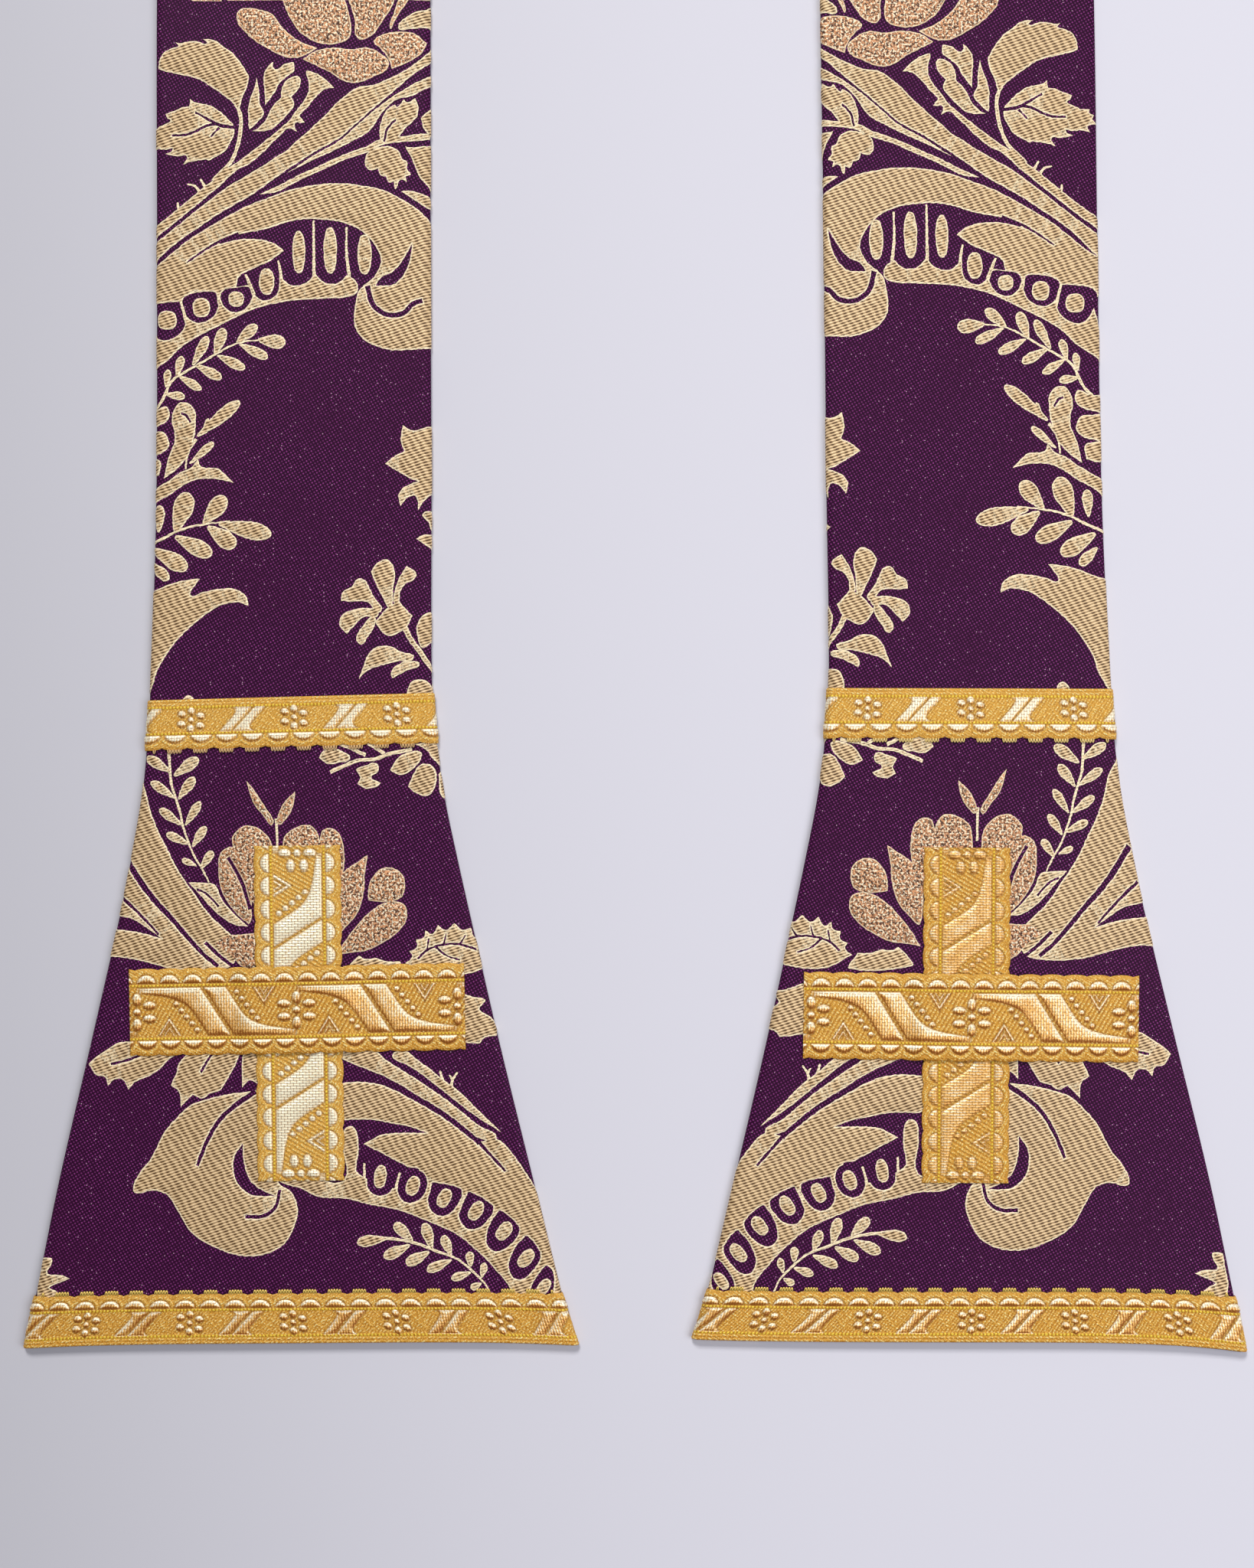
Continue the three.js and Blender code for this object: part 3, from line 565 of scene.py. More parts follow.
def stroke_outline(widths, points, step):
    """A line of thread that follows points, from its first width to its last."""
    fine = [points[0]]
    for i in range(len(points) - 1):
        before = points[max(i - 1, 0)]
        after = points[min(i + 2, len(points) - 1)]
        p, q = points[i], points[i + 1]
        steps = max(1, round(np.linalg.norm(q - p) / step))
        leave, arrive = (q - before) / 2, (after - p) / 2
        for k in range(1, steps + 1):
            t = k / steps
            fine.append(
                (2 * t**3 - 3 * t**2 + 1) * p
                + (t**3 - 2 * t**2 + t) * leave
                + (3 * t**2 - 2 * t**3) * q
                + (t**3 - t**2) * arrive
            )
    fine = np.array(fine)
    way = np.gradient(fine, axis=0)
    way /= np.maximum(np.linalg.norm(way, axis=1, keepdims=True), 1e-9)
    side = np.stack([-way[:, 1], way[:, 0]], axis=-1)
    half = np.linspace(widths[0], widths[-1], len(fine))[:, None] / 2
    return np.concatenate([fine + side * half, (fine - side * half)[::-1]])


def drawn_shapes(step):
    """Each line of the drawing as its kind of thread and a closed outline."""
    shapes = []
    for line in FIGURE.strip().replace("\n  ", " ").splitlines():
        thread, shape, *words = line.split()
        kind = THREAD_KINDS[thread]
        if shape == "egg":
            (x, y), *sizes = [w.split(",") for w in words]
            sizes = [float(size[0]) for size in sizes]
            outline = egg_outline(float(x), float(y), *sizes, step=step)
        else:
            sharp = [w.endswith("!") for w in words]
            numbers = [[float(n) for n in w.rstrip("!").split(",")] for w in words]
            if shape in ("outline", "cup"):
                outline = smooth_outline(np.array(numbers), sharp, step)
                if shape == "cup":
                    middle = outline.mean(axis=0)
                    outline = middle + (outline - middle) * CUP_SHARE
            elif shape == "leaf":
                outline = leaf_outline(numbers[0], numbers[1], numbers[2][0], step)
            else:
                outline = stroke_outline(numbers[0], np.array(numbers[1:]), step)
        shapes.append((kind, outline))
    return shapes


def keep_above(outline, height):
    """The part of an outline that lies above a height, or None."""
    if outline[:, 1].min() >= height:
        return outline
    if outline[:, 1].max() <= height + 0.5:
        return None
    kept = []
    for p, q in zip(outline, np.roll(outline, -1, 0)):
        if p[1] >= height:
            kept.append(p)
        if (p[1] >= height) != (q[1] >= height):
            kept.append(p + (q - p) * (height - p[1]) / (q[1] - p[1]))
    return np.array(kept)


BAND_MIDDLE = 122.0


def figure_shapes(hand):
    """The whole figure in the right half's plan: as drawn, then its two repeats above."""
    shapes = drawn_shapes(NEAR_STEP)
    coarse = drawn_shapes(FAR_STEP)
    for repeat, mirror in ((1, -1), (2, 1)):
        floor = JOIN_HEIGHT + REPEAT * (repeat - 1)
        for kind, outline in coarse:
            moved = outline * [mirror, 1] + [0, REPEAT * repeat]
            moved = keep_above(moved, floor)
            if moved is not None and len(moved) > 2:
                shapes.append((kind, moved))
    draw = random.Random(SHAKE_SEED)
    inwards, in_rise = hand["figure_in"]
    upwards, up_rise = hand["figure_up"]
    plan = []
    for kind, outline in shapes:
        shaken = []
        for x, y in outline:
            across = BAND_MIDDLE - x - inwards - in_rise * y
            run = y + upwards + up_rise * y
            across += draw.uniform(-SHAKE, SHAKE)
            run += draw.uniform(-SHAKE, SHAKE)
            shaken.append((across, run))
        plan.append((kind, anticlockwise(np.array(shaken))))
    return plan


def anticlockwise(outline):
    """The same outline, run through anticlockwise."""
    x, y = outline.T
    area = np.sum(x * np.roll(y, -1) - y * np.roll(x, -1))
    return outline if area > 0 else outline[::-1]


def edge_runs():
    """Runs along a band's edge at which it is drawn, close in the flared end."""
    near = np.arange(-HEM_ARC + EDGE_UP, 500, 2.5)
    far = np.linspace(504, SEAM_RUN, 170)
    return np.concatenate([near, far])


HEM_RUN = EDGE_UP - HEM_ARC


def plan_point(run, across):
    """Points of the right half's plan, from how far they lie along and across it."""
    stations = Stations(run)
    return np.stack(
        [
            stations.x + stations.across_x * across,
            stations.y + stations.across_y * across,
        ],
        axis=-1,
    )


def cloth_edge(run):
    """How far from the centre line the cloth goes before it is upright at the fold."""
    return Stations(run).half - EDGE_ACROSS + FOLD_ARC


def inside(outline, places):
    """Which places lie inside a closed outline."""
    x, y = places.T
    found = np.zeros(len(places), dtype=bool)
    for (x1, y1), (x2, y2) in zip(outline, np.roll(outline, -1, 0)):
        if y1 != y2:
            spans = (y1 > y) != (y2 > y)
            found ^= spans & (x < (x2 - x1) * (y - y1) / (y2 - y1) + x1)
    return found


def face_plan(hand):
    """A half's brocade in the right half's plan, cut into triangles along its figure."""
    runs = edge_runs()
    edge = cloth_edge(runs)
    hem = np.linspace(1, -1, 72)[1:-1]
    seam = np.linspace(1, -1, 36)[1:-1]
    outer, inner = plan_point(runs, edge), plan_point(runs, -edge)
    border = np.concatenate(
        [
            outer,
            plan_point(np.full(len(seam), SEAM_RUN), seam * edge[-1]),
            inner[::-1],
            plan_point(np.full(len(hem), HEM_RUN), -hem * edge[0]),
        ]
    )
    border = anticlockwise(border)
    shapes = figure_shapes(hand)
    points = [border]
    faces = [list(range(len(border)))]
    first = len(border)
    rows = []
    for _, outline in shapes:
        faces.append(list(range(first, first + len(outline))))
        points.append(outline)
        first += len(outline)
        way = np.roll(outline, -1, 0) - np.roll(outline, 1, 0)
        way /= np.maximum(np.linalg.norm(way, axis=1, keepdims=True), 1e-9)
        side = np.stack([-way[:, 1], way[:, 0]], axis=-1) * BORDER_ROW
        rows += [outline + side, outline - side]
    for depth in (0.75, 1.5, 2.2, FOLD_ARC, 4.5):
        rows.append(plan_point(runs[1:-1], edge[1:-1] - depth))
        rows.append(plan_point(runs[1:-1], depth - edge[1:-1]))
    for depth in (0.6, 1.2, 1.75, HEM_ARC, 4):
        share = 1 - 0.04 * (depth > 0)
        rows.append(plan_point(np.full(len(hem), HEM_RUN + depth), hem * edge[0] * share))
    for run in np.arange(4, SEAM_RUN - 1, 5):
        reach = float(cloth_edge(run)) - 4
        across = np.arange(-reach, reach, 5)
        rows.append(plan_point(np.full(len(across), run), across))
    corners = np.concatenate(points)
    spots = KDTree(len(corners))
    for i, (x, y) in enumerate(corners):
        spots.insert((x, y, 0), i)
    spots.balance()
    loose, taken = [], set()
    for x, y in np.concatenate(rows):
        cell = (round(x / 0.5), round(y / 0.5))
        if cell in taken or spots.find((x, y, 0))[2] < 0.4:
            continue
        taken.add(cell)
        loose.append((x, y))
    every = [Vector(p) for p in np.concatenate([corners, np.array(loose)])]
    made = delaunay_2d_cdt(every, [], faces, 0, 1e-4, False)
    plan = np.array([v[:] for v in made[0]])
    triangles = np.array(made[2])
    middles = plan[triangles].mean(axis=1)
    within = inside(border, middles)
    triangles, middles = triangles[within], middles[within]
    threads = np.zeros(len(triangles), dtype=int)
    for kind, outline in shapes:
        low, high = outline.min(axis=0), outline.max(axis=0)
        near = np.flatnonzero(((middles > low) & (middles < high)).all(axis=1))
        threads[near[inside(outline, middles[near])]] = kind
    used = np.unique(triangles)
    renumber = np.full(len(plan), -1)
    renumber[used] = np.arange(len(used))
    return plan[used], renumber[triangles], np.array(threads)


def depth_in_figure(plan, triangles, threads):
    """How deep inside the figure each point lies, or minus how far outside it."""
    figure = threads > 0
    sides = {}
    for corner, inside in zip(triangles.tolist(), figure.tolist()):
        for k in range(3):
            edge = tuple(sorted((corner[k], corner[k - 1])))
            sides.setdefault(edge, []).append(inside)
    border = [edge for edge, kinds in sides.items() if len(set(kinds)) == 2]
    tree = KDTree(2 * len(border))
    for i, (a, b) in enumerate(border):
        tree.insert((*plan[a], 0), 2 * i)
        tree.insert((*((plan[a] + plan[b]) / 2), 0), 2 * i + 1)
    tree.balance()
    depth = np.array([tree.find((x, y, 0))[2] for x, y in plan])
    within = np.full(len(plan), -1.0)
    within[np.unique(triangles[figure])] = 1.0
    depth[[v for edge in border for v in edge]] = 0.0
    return depth * within


def folded(run, across, rise, hand):
    """Where points of the flat cloth lie once its edges and its hem are turned."""
    turn = np.clip((run - HEM_RUN) / HEM_ARC, 0, 1) * math.pi / 2
    share = np.sin(turn)
    low = run < EDGE_UP
    stations = Stations(np.where(low, EDGE_UP * (1 - np.cos(turn)), run))
    nominal = Stations(np.maximum(run, HEM_RUN)).half - EDGE_ACROSS
    flat = stations.half - EDGE_UP * (1 - share) - EDGE_ACROSS
    part = np.clip(across / nominal, -1, 1)
    over = np.clip((np.abs(across) - nominal) / FOLD_ARC, 0, 1) * math.pi / 2
    out = np.sign(across) * (EDGE_ACROSS + rise) * np.sin(over)
    seam = np.clip(1 - (SEAM_RUN - run) / 1.3, 0, 1)
    crown = FACE_CROWN * share * (1 - part**2) - 0.9 * (1 - np.sqrt(1 - seam**2 * 0.98))
    z = EDGE_UP + (EDGE_UP * share + rise) * np.cos(over) + crown * (over == 0)
    return place(stations, flat * part + out, z, hand)


UNDER_RINGS = ((0.6, 0.42), (2.0, 0.0), (TURNING, 0.0), (TURNING, RECESS_TOP))
CORNER_FADE = 24.0


def border_loop(triangles):
    """The triangles' open edge, as one ring of points."""
    following = {}
    for a, b, c in triangles.tolist():
        for edge in ((a, b), (b, c), (c, a)):
            following[edge] = True
    ahead = {a: b for a, b in following if (b, a) not in following}
    start = next(iter(ahead))
    loop = [start]
    while ahead[loop[-1]] != start:
        loop.append(ahead[loop[-1]])
    return loop


def mesh_piece(name, points, faces, finishes, indices=None):
    """A mesh object with its faces turned outwards."""
    mesh = bpy.data.meshes.new(name)
    mesh.from_pydata([tuple(p) for p in points], [], faces)
    for finish in finishes:
        mesh.materials.append(finish)
    if indices is not None:
        mesh.polygons.foreach_set("material_index", indices)
    shell = bmesh.new()
    shell.from_mesh(mesh)
    bmesh.ops.recalc_face_normals(shell, faces=shell.faces)
    shell.to_mesh(mesh)
    shell.free()
    piece = bpy.data.objects.new(name, mesh)
    bpy.context.collection.objects.link(piece)
    return piece


def give_cloth_map(mesh, flat):
    """A UV map in millimetres of the flat cloth, from a place for each point."""
    layer = mesh.uv_layers.new(name="cloth")
    corners = np.empty(len(mesh.loops), dtype=np.int32)
    mesh.loops.foreach_get("vertex_index", corners)
    layer.data.foreach_set("uv", np.asarray(flat, np.float32)[corners].ravel())


def give_measure(mesh, name, values):
    """A number for each point, which the finish reads."""
    layer = mesh.attributes.new(name=name, type="FLOAT", domain="POINT")
    layer.data.foreach_set("value", np.asarray(values, np.float32))


def brocade_face(name, hand, finishes):
    """A half's brocade: its figured top, its turned edges, and the turnings under them."""
    plan, triangles, threads = face_plan(hand)
    depth = depth_in_figure(plan, triangles, threads)
    run, across = run_and_across(plan[:, 0], plan[:, 1])
    rise = FIGURE_RISE * smooth(-0.1, 0.5, depth)
    top = folded(run, across, rise, hand)
    loop = border_loop(triangles)
    at_seam = [v for v in loop if run[v] > SEAM_RUN - 0.2]
    start = max(range(len(loop)), key=lambda i: loop[i - 1] in at_seam and loop[i] not in at_seam)
    loop = loop[start - 1 :] + loop[: start - 1]
    end = next(i for i in range(1, len(loop)) if loop[i] in at_seam)
    turned, seam = loop[: end + 1], loop[end:] + loop[:1]
    ring_run, ring_across = run[turned], across[turned]
    at_hem = ring_run < HEM_RUN + 0.05
    share = ring_across / cloth_edge(ring_run)
    real_run = np.where(
        ring_run < EDGE_UP,
        EDGE_UP * (1 - np.cos(np.clip((ring_run - HEM_RUN) / HEM_ARC, 0, 1) * math.pi / 2)),
        ring_run,
    )
    rings = []
    for inset, z in UNDER_RINGS:
        fade = np.clip(1 - real_run / CORNER_FADE, 0, 1)
        at = real_run + inset * np.where(at_hem, 1, fade)
        stations = Stations(at)
        rings.append(
            place(stations, share * (stations.half - inset), np.full(len(at), z), hand)
        )
    count, depth_rings = len(turned), len(rings)
    points = np.concatenate([top, *rings])
    base = len(top)
    chains = [list(turned)] + [
        list(range(base + k * count, base + (k + 1) * count)) for k in range(depth_rings)
    ]
    faces = triangles.tolist()
    kinds = threads.tolist()
    beside = {}
    for corner, kind in zip(triangles.tolist(), threads.tolist()):
        for k in range(3):
            beside[frozenset((corner[k], corner[k - 1]))] = kind
    for upper, lower in zip(chains, chains[1:]):
        for i in range(count - 1):
            faces.append([upper[i], upper[i + 1], lower[i + 1], lower[i]])
            kinds.append(beside.get(frozenset((turned[i], turned[i + 1])), 0))
    ceiling = [Vector((*points[v][:2], 0)) for v in chains[-1]]
    for corner in tessellate_polygon([ceiling]):
        faces.append([chains[-1][i] for i in corner])
        kinds.append(0)
    cap = list(seam) + [chain[0] for chain in chains[1:]]
    cap += [chain[-1] for chain in chains[:0:-1]]
    section = [Vector((points[v][1], points[v][2], 0)) for v in cap]
    for corner in tessellate_polygon([section]):
        faces.append([cap[i] for i in corner])
        kinds.append(0)
    piece = mesh_piece(name, points, faces, finishes, kinds)
    flat = plan * [hand["side"], 1]
    under = [
        flat[turned] + (points[chain][:, :2] / MM - flat[turned] + [0, HEM_TO_ORIGIN]) * -1
        for chain in chains[1:]
    ]
    give_cloth_map(piece.data, np.concatenate([flat, *under]))
    give_measure(piece.data, "depth", np.concatenate([depth, np.zeros(len(points) - base)]))
    piece.data.polygons.foreach_set("use_smooth", [True] * len(faces))
    return piece


STITCH_PITCH, STITCH_LENGTH, STITCH_RADIUS = 6.5, 2.6, 0.13


def lining_cloth(name, hand, finish):
    """The lining let in between a half's turnings, with its slip stitches."""
    start = TURNING + 2 * LINING_GAP
    runs = np.concatenate([[start], np.arange(12, 1000, 9.0), np.linspace(1000, SEAM_RUN, 26)])
    stations = Stations(runs)
    half = stations.half - TURNING - LINING_GAP
    profile = [(-0.35, 1.0), (-0.1, 0.86), (0, 0.5), (-0.1, 0.14), (-0.35, 0.0)]
    columns = [(s, 0, LINING_THICK) for s in (-0.98, -0.66, -0.33, 0, 0.33, 0.66, 0.98)]
    columns += [(1, inset, z) for inset, z in profile]
    columns += [(s, 0, 0.0) for s in (0.98, 0.66, 0.33, 0, -0.33, -0.66, -0.98)]
    columns += [(-1, inset, z) for inset, z in profile[::-1]]
    rings = []
    for share, inset, z in columns:
        across = share * (half + inset)
        rings.append(place(stations, across, np.full(len(runs), z), hand))
    points = np.stack(rings, axis=1).reshape(-1, 3)
    width = len(columns)
    faces = []
    for i in range(len(runs) - 1):
        for j in range(width):
            k = (j + 1) % width
            faces.append(
                [i * width + j, i * width + k, (i + 1) * width + k, (i + 1) * width + j]
            )
    last = (len(runs) - 1) * width
    faces.append(list(range(width)))
    faces.append([last + j for j in range(width)])
    stitch_runs = np.arange(start + 4, SEAM_RUN - 4, STITCH_PITCH)
    for side in (-1, 1):
        at = Stations(stitch_runs)
        edge = side * (at.half - TURNING)
        ahead = Stations(stitch_runs + STITCH_LENGTH)
        far_edge = side * (ahead.half - TURNING)
        tails = place(at, edge - side * 0.75, np.full(len(edge), 0.17), hand)
        heads = place(ahead, far_edge - side * 0.2, np.full(len(edge), 0.17), hand)
        for tail, head in zip(tails, heads):
            points, faces = add_thread(points, faces, np.array([tail, head]), STITCH_RADIUS * MM)
    piece = mesh_piece(name, points, faces, [finish])
    give_cloth_map(piece.data, points[:, :2] / MM)
    return piece


def add_thread(points, faces, path, radius, sides=4):
    """Adds a thin closed thread that follows a path to a mesh's points and faces."""
    first = len(points)
    way = np.gradient(path, axis=0)
    way /= np.linalg.norm(way, axis=1, keepdims=True)
    side = np.cross(way, [0, 0, 1.0])
    side /= np.linalg.norm(side, axis=1, keepdims=True)
    lift = np.cross(side, way)
    rings = []
    for k in range(sides):
        angle = 2 * math.pi * (k + 0.5) / sides
        rings.append(path + radius * (side * math.cos(angle) + lift * math.sin(angle)))
    ring = np.stack(rings, axis=1).reshape(-1, 3)
    for i in range(len(path) - 1):
        for k in range(sides):
            j = (k + 1) % sides
            a, b = first + i * sides, first + (i + 1) * sides
            faces.append([a + k, a + j, b + j, b + k])
    faces.append([first + k for k in range(sides)])
    faces.append([first + (len(path) - 1) * sides + k for k in range(sides)])
    return np.concatenate([points, ring]), faces


# Galloons. Each pattern gives, at places along (s) and across a galloon, how high its threads stand
# (0 to 1) and how far they are satin floats, corded border and bare groove.
WIDE_PERIOD = 58.5
NARROW_PERIOD = 37.7
GRID = 0.34


def domed(depth, reach):
    """A rounded rise from 0 at an outline to 1 at a depth inside it."""
    t = np.clip(depth / reach, 0, 1)
    return np.sqrt(np.clip(1 - (1 - t) ** 2, 0, 1))


def bead_depth(x, y, half_x, half_y):
    return (1 - np.hypot(x / half_x, y / half_y)) * min(half_x, half_y)


def flower_depth(x, y, beads, heart):
    """Depth inside a flower of six beads round a seventh."""
    up, (side_x, side_y), (half_x, half_y) = beads
    depth = bead_depth(x, y, heart, heart)
    for a in (-1, 1):
        depth = np.maximum(depth, bead_depth(x, y - a * up, half_y, half_x))
        for b in (-1, 1):
            bead = bead_depth(x - a * side_x, y - b * side_y, half_x, half_y)
            depth = np.maximum(depth, bead)
    return depth


def woven(figure, satin, cord, ring, ribs):
    """Heights and thread masks from depths inside the satin, cords and arcs, and the ribs."""
    floats = smooth(-0.15, 0.25, satin)
    corded = smooth(-0.1, 0.2, cord) * (1 - floats)
    ringed = smooth(-0.1, 0.3, ring) * (1 - floats)
    rib = np.maximum(ribs * (1 - ringed), 0.8 * ringed) * (1 - corded) * (1 - floats)
    height = 0.3 + 0.2 * rib + 0.66 * figure * floats
    height = height + corded * 0.3 * domed(cord, 0.5) + 0.1 * ringed
    groove = smooth(-0.6, -0.15, satin) * (1 - floats) * (1 - corded)
    return height - 0.14 * groove, floats, corded, groove, rib


def bar_depth(s, v, lean, width, gap, reach, flare, fade):
    """Depth inside the left one of twin slanted bars. Its head runs out in a thin tail."""
    d = s + lean * v
    tail = flare * np.exp((np.minimum(v, reach) - reach) / fade)
    steep = np.hypot(1, lean + tail / fade)
    tail = np.minimum(tail, 15.5)
    across = (-gap - d) / math.hypot(1, lean)
    return np.minimum.reduce([(d + width + tail) / steep, across, reach - np.abs(v)])


def wide_pattern(s, v):
    """The cross's galloon: flowers, twin bars, bead chains and chevrons between moon borders."""
    q = s - WIDE_PERIOD * np.round(s / WIDE_PERIOD)
    t = np.mod(s, WIDE_PERIOD) - WIDE_PERIOD / 2
    flower = flower_depth(q, v, (4.6, (4.6, 2.4), (2.3, 1.5)), 1.35)
    nowhere = np.full(s.shape, -9.0)
    bars, chain, chevron = nowhere, nowhere, nowhere
    for turn in (1, -1):
        tt, vv = t * turn, v * turn
        bars = np.maximum(bars, bar_depth(tt, vv, 0.62, 8.7, 0.65, 8.75, 45, 1.7))
        for k in range(5):
            bead = bead_depth(tt + 14.9 - 1.9 * k, vv - 2.8 + 2.4 * k, 0.95, 1.05)
            chain = np.maximum(chain, bead)
        qq = np.abs(q + 11.8 * turn)
        for apex, thick in ((3.0, 0.42), (6.0, 0.25)):
            line = thick - np.abs(vv - apex - qq * 1.6) * 0.53
            chevron = np.maximum(chevron, np.where(vv < 8.7, line, -9))
    moon_s = np.mod(s, WIDE_PITCH) - WIDE_PITCH / 2
    moon_v = np.abs(v) - 10.4
    moons = np.minimum((1 - np.hypot(moon_s / 3.4, moon_v / 3.1)) * 3, moon_v)
    satin = np.maximum.reduce([flower, bars, chain, moons, chevron])
    small = domed(np.maximum(chain, chevron), 0.8)
    figure = np.maximum.reduce(
        [domed(flower, 1.2), 0.9 * domed(bars, 3.2), 0.7 * small, domed(moons, 1.3)]
    )
    ribs = 0.5 + 0.5 * np.cos(2 * math.pi * (s - 0.58 * v) / 1.65)
    ribs = np.where(np.abs(v) < 9.0, ribs, 0.4)
    ring = 0.75 - np.abs(np.hypot(moon_s / 4.2, moon_v / 4.25) - 1) * 4.2
    ring = np.where(moon_v > 0.3, ring, -9)
    return woven(figure, satin, 0.38 - np.abs(np.abs(v) - 9.7), ring, ribs)


def narrow_pattern(s, w, along):
    """The narrow galloon: w is from its straight edge. Its moons keep to its scallops."""
    q = s - NARROW_PERIOD * np.round(s / NARROW_PERIOD)
    t = np.mod(s, NARROW_PERIOD) - NARROW_PERIOD / 2
    v = w - 7.6
    flower = flower_depth(q, v - 0.1 * q, (3.15, (3.4, 1.8), (1.45, 1.25)), 1.0)
    bars = np.full(s.shape, -9.0)
    for turn in (1, -1):
        bar = bar_depth(-t * turn, v * turn, -0.91, 4.3, 0.5, 4.4, 4, 1.0)
        bars = np.maximum(bars, bar)
    moon_s = np.mod(along, NARROW_PITCH) - NARROW_PITCH / 2
    moon_w = w - 13.1
    moons = np.minimum((1 - np.hypot(moon_s / 3.7, moon_w / 2.9)) * 2.8, moon_w)
    satin = np.maximum.reduce([flower, bars, moons])
    figure = np.maximum.reduce([domed(flower, 1.0), 0.5 * domed(bars, 1.8), domed(moons, 1.2)])
    chevron = 0.36 - np.abs(v + 1.6 - np.abs(np.abs(q) - 9.3) * 1.3) * 0.6
    chevron = np.where(np.abs(v) < 4.2, chevron, -9)
    ring = 0.7 - np.abs(np.hypot(moon_s / 4.5, moon_w / 3.8) - 1) * 3.8
    ring = np.maximum(np.where(moon_w > 0.3, ring, -9), chevron)
    ring = np.maximum(ring, 0.5 - np.abs(np.abs(w - 1.2) - 0.6))
    cord = 0.42 - np.minimum(np.abs(w - 12.5), np.abs(w - 3.0))
    ribs = 0.5 + 0.5 * np.cos(2 * math.pi * (s + 0.7 * v) / 1.25)
    return woven(figure, satin, cord, ring, np.where(np.abs(v) < 4.5, ribs, 0.4))


def scallop(along, pitch, wave):
    return wave * np.sqrt(np.abs(np.sin(math.pi * along / pitch)))


def galloon_cloth(name, s, low, high, locate, relief, finish, painted_light, picots=()):
    """A closed strip of galloon with real relief on its upper side and a plain underside."""
    draw = np.random.default_rng(len(name) * 7 + ord(name[0]))
    rows = int(round((high - low).max() / GRID)) + 1
    part = np.linspace(0, 1, rows)
    across = low[:, None] + (high - low)[:, None] * part[None, :]
    along = np.broadcast_to(s[:, None], across.shape)
    height, *masks = relief(along, across)
    height = height + draw.uniform(-0.025, 0.025, height.shape)
    rim = np.minimum(part, 1 - part)[None, :] * (high - low)[:, None]
    ends = np.minimum(s - s[0], s[-1] - s)[:, None]
    height = height * (0.45 + 0.55 * smooth(0, 0.7, rim)) * (0.55 + 0.45 * smooth(0, 0.8, ends))
    top = locate(along, across, GALLOON_LIFT + 0.1 + 0.88 * np.clip(height, 0.03, 1))
    bottom = locate(
        np.stack([s, s], axis=1), np.stack([low, high], axis=1), np.full((len(s), 2), GALLOON_LIFT)
    )
    # Painted highlight and painted shade: a mask from how far each point of the top faces towards +Y,
    # where the key light stands. The finish paints the satin floats paler where it is high and browner
    # where it is low.
    ways = np.cross(np.gradient(top, axis=0), np.gradient(top, axis=1))
    ways /= np.linalg.norm(ways, axis=2, keepdims=True)
    ways *= np.sign(ways[:, :, 2:])
    masks.append(np.clip(painted_light[0] + painted_light[1] * ways[:, :, 1], 0, 1))
    count = len(s)
    points = np.concatenate([top.reshape(-1, 3), bottom.reshape(-1, 3)])
    grid = np.arange(count * rows).reshape(count, rows)
    under = count * rows + np.arange(count * 2).reshape(count, 2)
    quads = np.stack([grid[:-1, :-1], grid[1:, :-1], grid[1:, 1:], grid[:-1, 1:]], axis=-1)
    faces = quads.reshape(-1, 4).tolist()
    smooth_count = len(faces)
    for i in range(count - 1):
        faces.append([under[i, 0], under[i + 1, 0], grid[i + 1, 0], grid[i, 0]])
        faces.append([grid[i, -1], grid[i + 1, -1], under[i + 1, 1], under[i, 1]])
        faces.append([under[i, 1], under[i + 1, 1], under[i + 1, 0], under[i, 0]])
    faces.append([*grid[0].tolist(), under[0, 1], under[0, 0]])
    faces.append([*grid[-1][::-1].tolist(), under[-1, 0], under[-1, 1]])
    flat = np.concatenate(
        [
            np.stack([along, across], axis=-1).reshape(-1, 2),
            np.stack([np.stack([s, s], 1), np.stack([low, high], 1)], axis=-1).reshape(-1, 2),
        ]
    )
    values = [np.concatenate([m.ravel(), np.zeros(count * 2)]) for m in masks]
    loops = []
    for s0, v0, out in picots:
        angle = np.linspace(0, math.pi, 6)
        half_wide, tall = 0.36, 1.5
        path_s = s0 + half_wide * np.cos(angle)
        path_v = v0 - out * 0.25 + out * tall * np.sin(angle)
        loops.append(locate(path_s, path_v, np.full(6, GALLOON_LIFT + 0.35)))
    for path in loops:
        before = len(points)
        points, faces = add_thread(points, faces, path, 0.24 * MM)
        extra = len(points) - before
        flat = np.concatenate([flat, np.repeat(flat[:1], extra, axis=0)])
        # The picots' shares of satin, cord, groove, rib and painted light; their painted highlight is
        # 0.8.
        shares = (0.3, 0.8, 0.0, 0.0, 0.8)
        values = [np.concatenate([v, np.full(extra, p)]) for v, p in zip(values, shares)]
    piece = mesh_piece(name, points, faces, [finish])
    give_cloth_map(piece.data, flat)
    for label, value in zip(("satin", "cord", "groove", "rib", "painted_light"), values):
        give_measure(piece.data, label, value)
    flags = [i < smooth_count or i > smooth_count + 3 * (count - 1) for i in range(len(faces))]
    piece.data.polygons.foreach_set("use_smooth", flags)
    return piece


